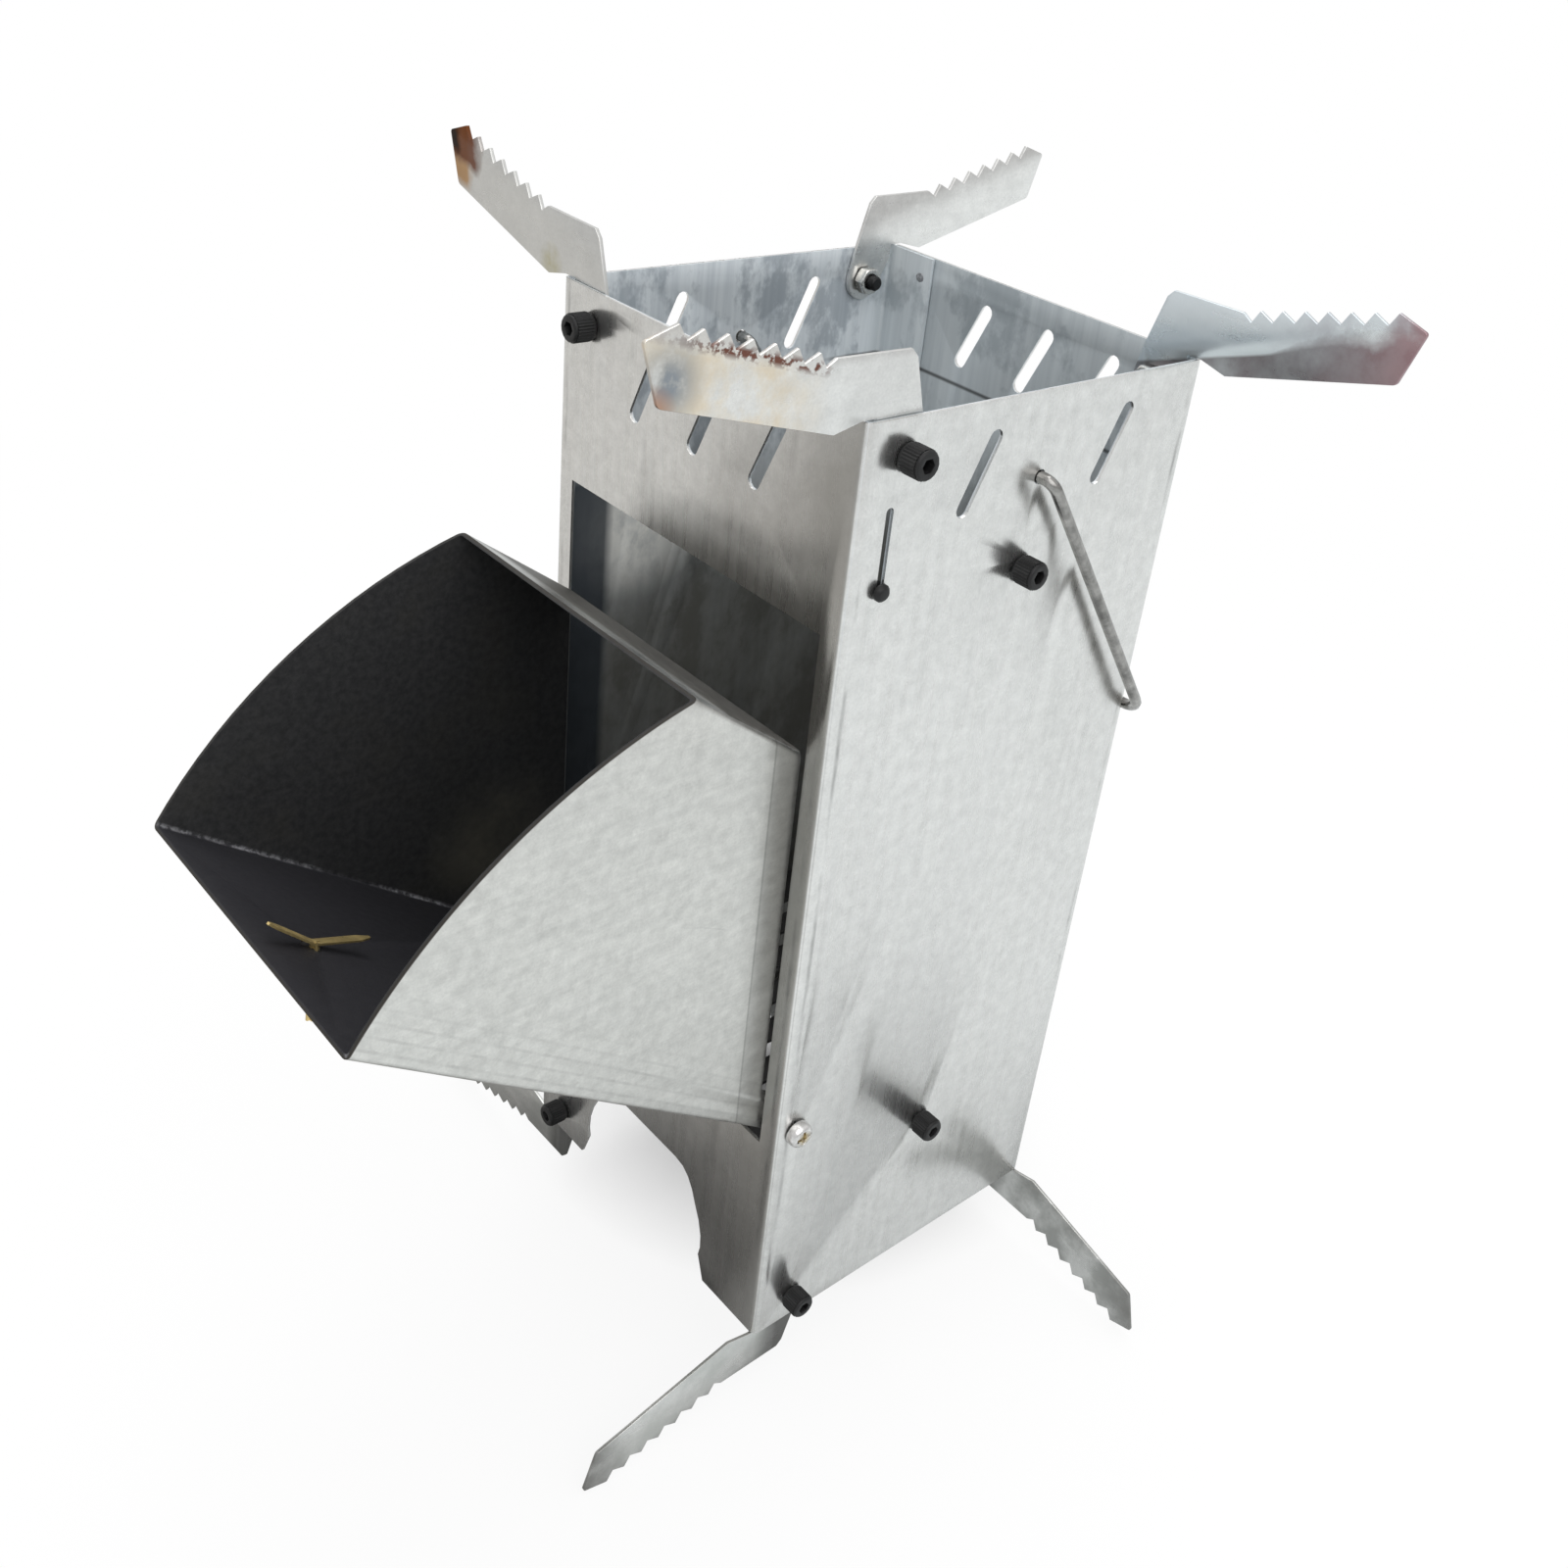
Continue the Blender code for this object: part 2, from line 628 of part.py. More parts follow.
def hopper_side_outline():
    """Side panel in the tower's (y, z), measured from the pivot: a sector with a round lug."""
    low = -HOPPER_FLOOR_DROP
    high = HOPPER_DEPTH - HOPPER_FLOOR_DROP
    radius = HOPPER_ARC_RADIUS
    start = math.asin(low / radius)
    end = math.asin(high / radius)
    outline = []
    for along, up in arc((0.0, 0.0), radius, start, end, 16):
        point = HOPPER_OUTWARD * along + HOPPER_UPWARD * up
        outline.append((point.y, point.z))
    back = -HOPPER_PIVOT_FROM_FRONT - HOPPER_BACK_GAP
    top_along = (high * math.sin(HOPPER_SLOPE) - back) / math.cos(HOPPER_SLOPE)
    top = HOPPER_OUTWARD * top_along + HOPPER_UPWARD * high
    outline.append((top.y, top.z))
    outline.append((back, HOPPER_NECK_RISE))
    under = -QUARTER_TURN - HOPPER_SLOPE
    lug = arc((0.0, 0.0), HOPPER_LUG_RADIUS, math.radians(75), under, 10)
    return outline + lug


def hopper_mesh():
    """A folded box, open at both ends, trimmed to the outline of its side panels."""
    placing = hopper_frame()
    low = -HOPPER_FLOOR_DROP
    high = HOPPER_DEPTH - HOPPER_FLOOR_DROP
    radius = HOPPER_BEND_RADIUS
    reach = 1.2 * HOPPER_ARC_RADIUS
    outside = rounded_corners(rectangle((-HOPPER_HALF, low), (HOPPER_HALF, high)), [radius] * 4)
    inner_half = HOPPER_HALF - SHEET
    inside = rectangle((-inner_half, low + SHEET), (inner_half, high - SHEET))
    inside = rounded_corners(inside, [radius - SHEET] * 4, 2)
    box = prism("hopper_box", outside, -reach, reach, placing)
    hollow = prism("hopper_hollow", inside, -1.1 * reach, 1.1 * reach, placing)
    sideways = Matrix(((0, 0, 1, 0), (1, 0, 0, 0), (0, 1, 0, 0), (0, 0, 0, 1)))
    trim = prism("hopper_trim", hopper_side_outline(), -HALF_WIDTH, HALF_WIDTH, sideways)
    notch_half = HOPPER_HALF - radius
    notch = rectangle((-notch_half, low - SHEET), (notch_half, low + 1.5 * SHEET))
    rear = prism("hopper_rear_notch", notch, -2 * HOPPER_LUG_RADIUS, 0.0, placing)
    hole = circle((0.0, 0.0), SCREW_HOLE_RADIUS)
    drill = prism("hopper_drill", hole, -HALF_WIDTH, HALF_WIDTH, sideways)
    fastener_turn = placing @ Matrix.Rotation(QUARTER_TURN, 4, "X")
    hole = circle((0.0, -FASTENER_FROM_PIVOT), FASTENER_HOLE_RADIUS)
    fastener_hole = prism("fastener_drill", hole, -2 * HOPPER_LUG_RADIUS, 0.0, flip(fastener_turn))
    steps = [("DIFFERENCE", hollow), ("INTERSECT", trim)]
    steps.append(("DIFFERENCE", joined([rear, drill, fastener_hole], "hopper_cutters")))
    return smooth(combined("hopper", box, steps))


def flip(placing):
    return placing @ Matrix.Rotation(math.pi, 4, "X")


# Brass fastener

def fastener_strip(name, start, direction, side, length, tapered):
    """A flat strip from a point along a direction, its width lying along side."""
    direction = direction.normalized()
    side = (side - direction * side.dot(direction)).normalized()
    normal = direction.cross(side)
    columns = Matrix((side, normal, direction)).transposed().to_4x4()
    placing = Matrix.Translation(start) @ columns
    half_wide = FASTENER_STRIP_WIDTH / 2
    half_thick = FASTENER_STRIP_THICKNESS / 2
    if not tapered:
        outline = rectangle((-half_wide, -half_thick), (half_wide, half_thick))
        return prism(name, outline, 0.0, length, placing)
    upright = placing @ Matrix.Rotation(QUARTER_TURN, 4, "X")
    outline = [
        (-half_wide, 0.0),
        (half_wide, 0.0),
        (half_wide, 0.8 * length),
        (0.35 * half_wide, length),
        (-0.35 * half_wide, length),
        (-half_wide, 0.8 * length),
    ]
    return prism(name, outline, -half_thick, half_thick, upright)


def fastener_mesh():
    """A split fastener: two legs splayed on the floor, a stem below it and a dished head."""
    across = Vector((1.0, 0.0, 0.0))
    floor_face = SHEET - HOPPER_FLOOR_DROP
    thickness = FASTENER_STRIP_THICKNESS
    root = HOPPER_UPWARD * (floor_face + 1.5 * thickness)
    turn = Matrix.Rotation(FASTENER_LEG_TURN, 3, HOPPER_UPWARD)
    forward = turn @ HOPPER_OUTWARD
    sideways = turn @ across
    rise = HOPPER_UPWARD * math.tan(FASTENER_LEG_RISE)
    legs = []
    for heading in (forward, -forward):
        leg = fastener_strip("leg", root - heading * 1.3 * thickness, heading + rise, sideways,
                             FASTENER_LEG_LENGTH, True)
        legs.append(leg)
    head_side = Vector((0.20, -0.20, -0.96)).normalized()
    stem_start = root + HOPPER_UPWARD * thickness
    stem = fastener_strip("stem", stem_start, head_side, across, FASTENER_STEM_LENGTH, False)
    widened = fastener_strip("stem_pair", stem_start, head_side, HOPPER_OUTWARD,
                             FASTENER_STEM_LENGTH, False)
    head_axis = Vector((-0.28, -0.74, -0.61)).normalized()
    seat = stem_start + head_side * (FASTENER_STEM_LENGTH - 1.6 * thickness)
    spin = Vector((0.0, 0.0, 1.0)).rotation_difference(head_axis).to_matrix().to_4x4()
    profile = []
    rings = 5
    dome = FASTENER_HEAD_DOME
    wall = FASTENER_HEAD_WALL
    for step in range(rings + 1):
        share = 1.0 - step / rings
        profile.append((FASTENER_HEAD_RADIUS * share, -dome * share ** 2))
    profile.append((0.0, -wall))
    for step in range(1, rings + 1):
        share = step / rings
        profile.append((FASTENER_HEAD_RADIUS * share, -dome * share ** 2 - wall))
    head = turned("head", profile, 24, Matrix.Translation(seat) @ spin)
    steps = [("UNION", legs[1]), ("UNION", stem), ("UNION", widened), ("UNION", head)]
    return smooth(combined("brass_fastener", legs[0], steps))


# Bail

def bail_path():
    """Middle line of the right half of the wire, from its inner hook to the crossbar."""
    side = HALF_WIDTH + BAIL_SIDE_GAP + BAIL_WIRE_RADIUS
    inside = INNER_FACE - BAIL_STUB_INSIDE
    rest_y = HALF_WIDTH + SEAT_GAP + BAIL_WIRE_RADIUS - BAIL_PIVOT.y
    drop = -math.sqrt(BAIL_LEG_LENGTH ** 2 - rest_y ** 2)
    leg = Vector((0.0, rest_y, drop)) / BAIL_LEG_LENGTH
    corners = [
        Vector((inside, 0.0, 0.0)) + leg * BAIL_HOOK_LENGTH,
        Vector((inside, 0.0, 0.0)),
        Vector((side, 0.0, 0.0)),
        Vector((side, 0.0, 0.0)) + leg * BAIL_LEG_LENGTH,
        leg * BAIL_LEG_LENGTH,
    ]
    radii = [0.0, BAIL_HOOK_BEND, BAIL_EYE_BEND, BAIL_CORNER_BEND, 0.0]
    points = [corners[0]]
    for before, corner, after, radius in zip(corners, corners[1:], corners[2:], radii[1:]):
        start = corner + (before - corner).normalized() * radius
        end = corner + (after - corner).normalized() * radius
        centre = start + end - corner
        steps = 5
        for step in range(steps + 1):
            angle = QUARTER_TURN * step / steps
            spoke = (start - centre) * math.cos(angle) + (end - centre) * math.sin(angle)
            points.append(centre + spoke)
    return points


def bail_mesh():
    """Round wire swept along both halves of the path with filled ends."""
    half = bail_path()
    path = half + [Vector((-point.x, point.y, point.z)) for point in reversed(half)]
    curve = bpy.data.curves.new("bail_wire", "CURVE")
    curve.dimensions = "3D"
    curve.bevel_depth = BAIL_WIRE_RADIUS
    curve.bevel_resolution = 3
    curve.use_fill_caps = True
    spline = curve.splines.new("POLY")
    spline.points.add(len(path) - 1)
    for target, point in zip(spline.points, path):
        target.co = (*point, 1.0)
    wire = bpy.data.objects.new("bail_wire", curve)
    bpy.context.collection.objects.link(wire)
    depsgraph = bpy.context.evaluated_depsgraph_get()
    mesh = bpy.data.meshes.new_from_object(wire.evaluated_get(depsgraph))
    mesh.name = "bail_handle"
    bpy.data.objects.remove(wire, do_unlink=True)
    return smooth(mesh)


# Latch pin

def latch_mesh():
    """A headed pin through the wall, with a flat washer head inside; Z points out."""
    outer = SEAT_GAP
    inner = -SHEET - SEAT_GAP
    crown = outer + LATCH_HEAD_HEIGHT
    washer = inner - LATCH_HEAD_HEIGHT / 2
    profile = [
        (0.0, washer),
        (LATCH_HEAD_RADIUS, washer),
        (LATCH_HEAD_RADIUS, inner),
        (LATCH_STEM_RADIUS, inner),
        (LATCH_STEM_RADIUS, outer),
        (LATCH_HEAD_RADIUS, outer),
        (LATCH_HEAD_RADIUS, crown - LATCH_STEM_RADIUS),
        (LATCH_HEAD_RADIUS - LATCH_STEM_RADIUS, crown),
        (0.0, crown),
    ]
    return smooth(turned("latch_pin", profile))


# Fire grate

def grate_mesh():
    """A slotted floor with a flange turned down along each side wall."""
    half = INNER_FACE - SEAT_GAP - SHEET / 2
    top = GRATE_TOP - SHEET / 2
    low = GRATE_TOP - GRATE_FLANGE
    corners = [(half, low), (half, top), (-half, top), (-half, low)]
    section = bent_strip(corners, SHEET, BEND_RADIUS - SHEET / 2)
    length_wise = Matrix.Rotation(QUARTER_TURN, 4, "X")
    seam_inner = INNER_FACE - SEAT_GAP - SHEET
    front = INNER_FACE - GRATE_FRONT_GAP
    back = seam_inner - GRATE_FRONT_GAP
    sheet = prism("grate_sheet", section, -back, front, length_wise)
    slots = []
    pitch = GRATE_SLOT_WIDTH + GRATE_RIB_WIDTH
    for number in range(GRATE_SLOT_COUNT):
        middle = (number - (GRATE_SLOT_COUNT - 1) / 2) * pitch
        radius = GRATE_SLOT_WIDTH / 2
        half_long = GRATE_SLOT_LENGTH / 2 - radius
        far = arc((middle, half_long), radius, 0.0, math.pi, 6)
        near = arc((middle, -half_long), radius, math.pi, math.tau, 6)
        slots.append(prism("grate_slot", far + near, low, GRATE_TOP + SHEET))
    side = wall_frame(RIGHT)
    hole = circle((0.0, SIDE_SCREW_LOWER_HEIGHT), SCREW_HOLE_RADIUS)
    slots.append(prism("grate_drill", hole, -HALF_WIDTH, HALF_WIDTH, side))
    cutters = joined(slots, "grate_cutters")
    return smooth(combined("fire_grate", sheet, [("DIFFERENCE", cutters)]))


# Assembly

def build_plates(steel, tower):
    mesh = plate_mesh()
    for wall, name in enumerate(WALL_NAMES):
        turn = math.pi + wall * QUARTER_TURN
        at = on_wall(wall, -PIVOT_OFFSET, ARM_PIVOT_HEIGHT, PLATE_MIDDLE)
        place("pot_arm_" + name, mesh, steel, tower, at, (0.0, 0.0, turn))
        at = on_wall(wall, -PIVOT_OFFSET, LEG_PIVOT_HEIGHT, PLATE_MIDDLE)
        place("leg_" + name, mesh, steel, tower, at, (math.pi, 0.0, turn))


def build_fasteners(black, zinc, tower):
    nut = nut_mesh()
    grip = SHEET + SEAT_GAP + PLATE_THICKNESS + SEAT_GAP
    screw = cap_screw_mesh("cap_screw", grip)
    for wall, name in enumerate(WALL_NAMES):
        for kind, height in (("arm", ARM_PIVOT_HEIGHT), ("leg", LEG_PIVOT_HEIGHT)):
            at = on_wall(wall, -PIVOT_OFFSET, height, HALF_WIDTH)
            place(kind + "_screw_" + name, screw, black, tower, at, facing_out(wall))
            at = on_wall(wall, -PIVOT_OFFSET, height, HALF_WIDTH - grip)
            place(kind + "_nut_" + name, nut, zinc, tower, at, facing_out(wall))
    bare_grip = SHEET + SEAT_GAP
    short_screw = cap_screw_mesh("short_cap_screw", bare_grip)
    for wall in (RIGHT, LEFT):
        name = WALL_NAMES[wall]
        at = on_wall(wall, 0.0, SIDE_SCREW_UPPER_HEIGHT, HALF_WIDTH)
        place("upper_screw_" + name, short_screw, black, tower, at, facing_out(wall))
        at = on_wall(wall, 0.0, SIDE_SCREW_UPPER_HEIGHT, HALF_WIDTH - bare_grip)
        place("upper_nut_" + name, nut, zinc, tower, at, facing_out(wall))
        at = on_wall(wall, 0.0, SIDE_SCREW_LOWER_HEIGHT, HALF_WIDTH)
        place("grate_screw_" + name, screw, black, tower, at, facing_out(wall))
        at = on_wall(wall, 0.0, SIDE_SCREW_LOWER_HEIGHT, HALF_WIDTH - grip)
        place("grate_nut_" + name, nut, zinc, tower, at, facing_out(wall))


def build_hopper(galvanised, zinc, brass, tower):
    hopper = place("hopper", hopper_mesh(), galvanised, tower, HOPPER_PIVOT)
    at = HOPPER_OUTWARD * FASTENER_FROM_PIVOT
    place("brass_fastener", fastener_mesh(), brass, hopper, at)
    nut = nut_mesh()
    space = INNER_FACE - HOPPER_HALF
    spacer = spacer_mesh(space - 2 * SEAT_GAP)
    grip = SHEET + space + SHEET + SEAT_GAP
    screw = pan_screw_mesh("pan_screw", grip)
    for wall in (RIGHT, LEFT):
        name = WALL_NAMES[wall]
        along = HOPPER_PIVOT.y * WALL_SIGN[wall]
        at = on_wall(wall, along, HOPPER_PIVOT.z, HALF_WIDTH)
        place("hopper_screw_" + name, screw, zinc, tower, at, facing_out(wall))
        at = on_wall(wall, along, HOPPER_PIVOT.z, INNER_FACE - SEAT_GAP)
        place("hopper_spacer_" + name, spacer, zinc, tower, at, facing_out(wall))
        at = on_wall(wall, along, HOPPER_PIVOT.z, HALF_WIDTH - grip)
        place("hopper_nut_" + name, nut, zinc, tower, at, facing_out(wall))


def stand_on_ground(tower):
    """Moves the tower so that the whole stove's box is centred over the origin, on z = 0."""
    bpy.context.view_layer.update()
    corners = []
    for piece in bpy.data.objects:
        if piece.type == "MESH":
            corners += [piece.matrix_world @ vertex.co for vertex in piece.data.vertices]
    low = [min(corner[axis] for corner in corners) for axis in range(3)]
    high = [max(corner[axis] for corner in corners) for axis in range(3)]
    middle_x = (low[0] + high[0]) / 2
    middle_y = (low[1] + high[1]) / 2
    tower.location = (-middle_x, -middle_y, -low[2])
    bpy.context.view_layer.update()


def build_stove():
    remove_all_objects()
    galvanised = make_material("galvanised_sheet", (0.66, 0.65, 0.62), 0.38, 0.9)
    steel = make_material("plate_steel", (0.60, 0.60, 0.57), 0.42, 0.9)
    grate_steel = make_material("sooty_steel", (0.10, 0.10, 0.10), 0.7, 0.6)
    black = make_material("black_oxide", (0.02, 0.02, 0.02), 0.45, 0.4)
    zinc = make_material("bright_zinc", (0.72, 0.72, 0.70), 0.28, 1.0)
    brass = make_material("brass", (0.72, 0.52, 0.20), 0.3, 1.0)
    wire = make_material("bail_steel", (0.42, 0.41, 0.38), 0.35, 0.9)
    tower = bpy.data.objects.new("tower_frame", None)
    bpy.context.collection.objects.link(tower)
    place("tower_shell", tower_mesh(), galvanised, tower, (0.0, 0.0, 0.0))
    build_plates(steel, tower)
    build_fasteners(black, zinc, tower)
    build_hopper(galvanised, zinc, brass, tower)
    place("bail_handle", bail_mesh(), wire, tower, BAIL_PIVOT)
    latch_along = LATCH_FROM_FRONT - HALF_WIDTH
    at = on_wall(RIGHT, latch_along, LATCH_LOW, HALF_WIDTH)
    place("latch_pin", latch_mesh(), black, tower, at, facing_out(RIGHT))
    place("fire_grate", grate_mesh(), grate_steel, tower, (0.0, 0.0, 0.0))
    stand_on_ground(tower)


build_stove()
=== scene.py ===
# %% [markdown]
# # A folding camp stove of galvanised sheet
# The stove is a square tower bent from one sheet. Toothed arms fold out of its top to hold a
# pot, the same plates turned over are its legs, and a wedge-shaped hopper feeds fuel in through
# the front. The solid model comes in first as a fixed frame. Each piece that shows is then made
# again around it, with softer edges and a finish of its own.

# %% Load the frame
import math
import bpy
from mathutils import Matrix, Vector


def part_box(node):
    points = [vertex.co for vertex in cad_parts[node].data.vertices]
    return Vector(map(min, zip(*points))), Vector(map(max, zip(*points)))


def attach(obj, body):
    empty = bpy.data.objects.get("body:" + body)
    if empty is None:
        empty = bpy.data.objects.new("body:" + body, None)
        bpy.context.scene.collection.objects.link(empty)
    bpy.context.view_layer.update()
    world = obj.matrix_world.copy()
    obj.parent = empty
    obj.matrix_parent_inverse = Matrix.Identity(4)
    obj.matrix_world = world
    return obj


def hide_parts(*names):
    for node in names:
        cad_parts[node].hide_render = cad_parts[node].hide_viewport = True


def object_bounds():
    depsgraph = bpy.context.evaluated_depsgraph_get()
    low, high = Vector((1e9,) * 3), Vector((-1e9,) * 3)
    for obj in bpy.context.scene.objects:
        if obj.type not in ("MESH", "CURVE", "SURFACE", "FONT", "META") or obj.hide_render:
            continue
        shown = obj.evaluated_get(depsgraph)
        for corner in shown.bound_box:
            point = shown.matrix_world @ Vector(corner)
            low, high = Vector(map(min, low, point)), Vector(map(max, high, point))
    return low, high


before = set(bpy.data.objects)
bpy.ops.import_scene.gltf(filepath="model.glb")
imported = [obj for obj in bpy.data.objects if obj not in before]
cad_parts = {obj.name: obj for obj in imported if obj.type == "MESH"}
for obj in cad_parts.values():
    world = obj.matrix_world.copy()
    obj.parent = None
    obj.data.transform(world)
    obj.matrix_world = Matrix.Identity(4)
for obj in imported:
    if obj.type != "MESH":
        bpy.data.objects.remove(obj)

from types import SimpleNamespace

import bmesh
import bpy
from mathutils import Vector

CAD_BOX = [list(corner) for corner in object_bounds()]

# %% [markdown]
# ## One origin for every measure
# The frame's origin lies under the middle of the open stove, which is handy for the ground but
# not for the tower. The tower's own axis is found from its node, and the pieces below are drawn
# from there: x to the right, y to the back, z up from the tower's bottom edge.

# %% Find the tower's own origin
shell_low, shell_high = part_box("tower_shell")
TOWER = Vector(((shell_low.x + shell_high.x) / 2, (shell_low.y + shell_high.y) / 2, shell_low.z))
HALF_WIDTH = (shell_high.x - shell_low.x) / 2
HEIGHT = shell_high.z - shell_low.z
WALLS = ("front", "right", "back", "left")
print("tower origin", [round(value, 4) for value in TOWER], "height", round(HEIGHT, 4))

# %% [markdown]
# ## Camera
# The camera stands a little above the rim, in front of the right-hand corner, about 35 cm away.
# So close, the near corner looks tall and the far edges draw together. The place, the turn and
# the lens length were worked out from the tower's corners.

# %% Place the camera
link_object = bpy.context.scene.collection.objects.link
CAMERA_PLACE = (0.28007, -0.24871, 0.41521)
CAMERA_TURN = tuple(math.radians(angle) for angle in (60.3933, -6.5366, 48.3587))
camera_data = bpy.data.cameras.new("photo_camera")
camera_data.lens = 36.555
camera_data.sensor_width = 36.0
camera_data.shift_x = -0.040
camera_data.shift_y = -0.048
camera_data.clip_start = 0.01
camera = bpy.data.objects.new("photo_camera", camera_data)
camera.location = CAMERA_PLACE
camera.rotation_euler = CAMERA_TURN
link_object(camera)
bpy.context.scene.camera = camera

# %% [markdown]
# ## Small helpers for shader nodes
# Every finish below is a handful of noise patterns feeding one Principled shader. These helpers
# keep each recipe short: each makes one kind of node, fills in its sockets and hands back what
# comes out of it. The last two write colours down.

# %% Node helpers
def add_node(tree, kind, values=None, **settings):
    """Adds a node, sets its properties, then fills or links its inputs by name or number."""
    node = tree.nodes.new(kind)
    for name, value in settings.items():
        setattr(node, name, value)
    for socket, value in (values or {}).items():
        target = node.inputs[socket]
        if isinstance(value, bpy.types.NodeSocket):
            tree.links.new(value, target)
        else:
            target.default_value = value
    return node


def new_material(name, colour, roughness, metallic):
    """A material with its Principled shader, and the Object coordinates for its patterns."""
    material = bpy.data.materials.new(name)
    material.use_nodes = True
    tree = material.node_tree
    shader = tree.nodes["Principled BSDF"]
    shader.inputs["Base Color"].default_value = (*colour, 1.0)
    shader.inputs["Roughness"].default_value = roughness
    shader.inputs["Metallic"].default_value = metallic
    place = add_node(tree, "ShaderNodeTexCoord").outputs["Object"]
    return material, tree, shader, place


def noise_at(tree, place, scale, squeeze, detail=3.0, roughness=0.55, shift=(0, 0, 0)):
    """Noise on Object coordinates, squeezed along each axis to draw it into streaks."""
    mapping = add_node(tree, "ShaderNodeMapping",
                       {"Vector": place, "Scale": squeeze, "Location": shift})
    noise = add_node(tree, "ShaderNodeTexNoise",
                     {"Vector": mapping.outputs["Vector"], "Scale": scale, "Detail": detail,
                      "Roughness": roughness})
    return noise.outputs["Fac"]


def remap(tree, value, low, high, out_low=0.0, out_high=1.0):
    """Spreads a value between two limits onto another pair of limits, clamped."""
    node = add_node(tree, "ShaderNodeMapRange",
                    {"Value": value, "From Min": low, "From Max": high,
                     "To Min": out_low, "To Max": out_high}, clamp=True)
    return node.outputs["Result"]


def mix(tree, factor, first, second, blend="MIX"):
    """Mixes two colours. The node's colours are its inputs 6 and 7 and its output 2."""
    node = tree.nodes.new("ShaderNodeMix")
    node.data_type = "RGBA"
    node.blend_type = blend
    for socket, value in ((node.inputs[0], factor), (node.inputs[6], first),
                          (node.inputs[7], second)):
        if isinstance(value, bpy.types.NodeSocket):
            tree.links.new(value, socket)
        else:
            socket.default_value = value
    return node.outputs[2]


def calculate(tree, operation, first, second=0.0):
    """One Math node, on one or two values."""
    node = add_node(tree, "ShaderNodeMath", {0: first, 1: second}, operation=operation)
    return node.outputs[0]


def plus(tree, first, second):
    return calculate(tree, "ADD", first, second)


def minus(tree, first, second):
    return calculate(tree, "SUBTRACT", first, second)


def times(tree, *factors):
    result = factors[0]
    for factor in factors[1:]:
        result = calculate(tree, "MULTIPLY", result, factor)
    return result


def add_bump(tree, shader, height, strength, distance):
    bump = add_node(tree, "ShaderNodeBump",
                    {"Height": height, "Strength": strength, "Distance": distance})
    tree.links.new(bump.outputs["Normal"], shader.inputs["Normal"])


def feed(tree, shader, sources):
    """Links a socket to each input of the shader that the names say."""
    for name, source in sources.items():
        tree.links.new(source, shader.inputs[name])


def grey(level, warmth=0.0):
    return (level * (1 + warmth), level, level * (1 - warmth), 1.0)


def opaque(**colours):
    """Colours by name, each with an alpha of one."""
    return SimpleNamespace(**{name: (*colour, 1.0) for name, colour in colours.items()})

# %% [markdown]
# ## Where on the object a point lies
# Wear follows the shape: soot gathers inside, dirt along a bend, heat at a tip. So the patterns
# need to know where they are. The tower's own x, y and z come straight from the Object
# coordinates, and a mask is a band of one of those values with soft ends.

# %% Position helpers
SPOT_CORE = 0.2


def measured_from(tree, place, origin):
    """A point's place counted from another origin."""
    return add_node(tree, "ShaderNodeVectorMath", {0: place, 1: tuple(origin)},
                    operation="SUBTRACT").outputs["Vector"]


def reach_along(tree, local, direction):
    """How far a point lies out along a direction."""
    return add_node(tree, "ShaderNodeVectorMath", {0: local, 1: tuple(direction)},
                    operation="DOT_PRODUCT").outputs["Value"]


def tower_axes(tree, place):
    """Separate x, y, z measured from the tower's own origin."""
    local = measured_from(tree, place, TOWER)
    return add_node(tree, "ShaderNodeSeparateXYZ", {0: local}).outputs[:3]


def slant(tree, first, second):
    """The distance made up of two distances at a right angle."""
    squared = plus(tree, times(tree, first, first), times(tree, second, second))
    return calculate(tree, "SQRT", squared)


def near_value(tree, value, centre, inner, outer):
    """One where the value lies within inner of the centre, zero beyond outer."""
    distance = calculate(tree, "ABSOLUTE", minus(tree, value, centre))
    return remap(tree, distance, inner, outer, 1.0, 0.0)


def spot(tree, first, second, centre, radius):
    """A soft round mask in the plane of two coordinates."""
    distance = slant(tree, minus(tree, first, centre[0]), minus(tree, second, centre[1]))
    return remap(tree, distance, SPOT_CORE * radius, radius, 1.0, 0.0)

# %% [markdown]
# ## Galvanised sheet
# Zinc on steel is bright but not a mirror. Four things give it away: fine streaks along the
# rolling direction, a faint patchwork where the zinc froze, dark specks, and thin scratches.
# Streaks are noise squeezed in two directions, patches are soft noise, specks are the peaks of
# a fine noise, and scratches are the thin lines where a wavy noise passes through one value.
# The same recipe serves every zinc piece, so it is a function of shade and streak direction.

# %% Galvanised recipe
ZINC = (0.765, 0.765, 0.75)
STREAK_RELIEF = 0.02
PATCH_RELIEF = 0.008
WAVE_DEPTH = 0.003


def zinc_colour(tree, place, tone, streak_axes, patch_scale, contrast):
    """The colour of clean zinc and the streak pattern that its roughness follows."""
    patches = noise_at(tree, place, patch_scale, (1, 1, 1), 4.0, 0.62)
    streaks = noise_at(tree, place, 6.0, streak_axes, 3.0, 0.55)
    broad = noise_at(tree, place, 5.0, (1, 1, 1), 2.0, 0.5, (2, 5, 1))
    grain = noise_at(tree, place, 1400.0, (1, 1, 1), 2.0, 0.7)
    level = times(tree, remap(tree, patches, 0.3, 0.7, 1 - contrast, 1 + contrast),
                  remap(tree, streaks, 0.3, 0.7, 1 - 0.7 * contrast, 1 + 0.6 * contrast),
                  remap(tree, broad, 0.35, 0.65, 0.95, 1.04),
                  remap(tree, grain, 0.3, 0.7, 0.95, 1.05))
    bright = mix(tree, 1.0, (*tone, 1.0), level, "MULTIPLY")
    return bright, streaks, level


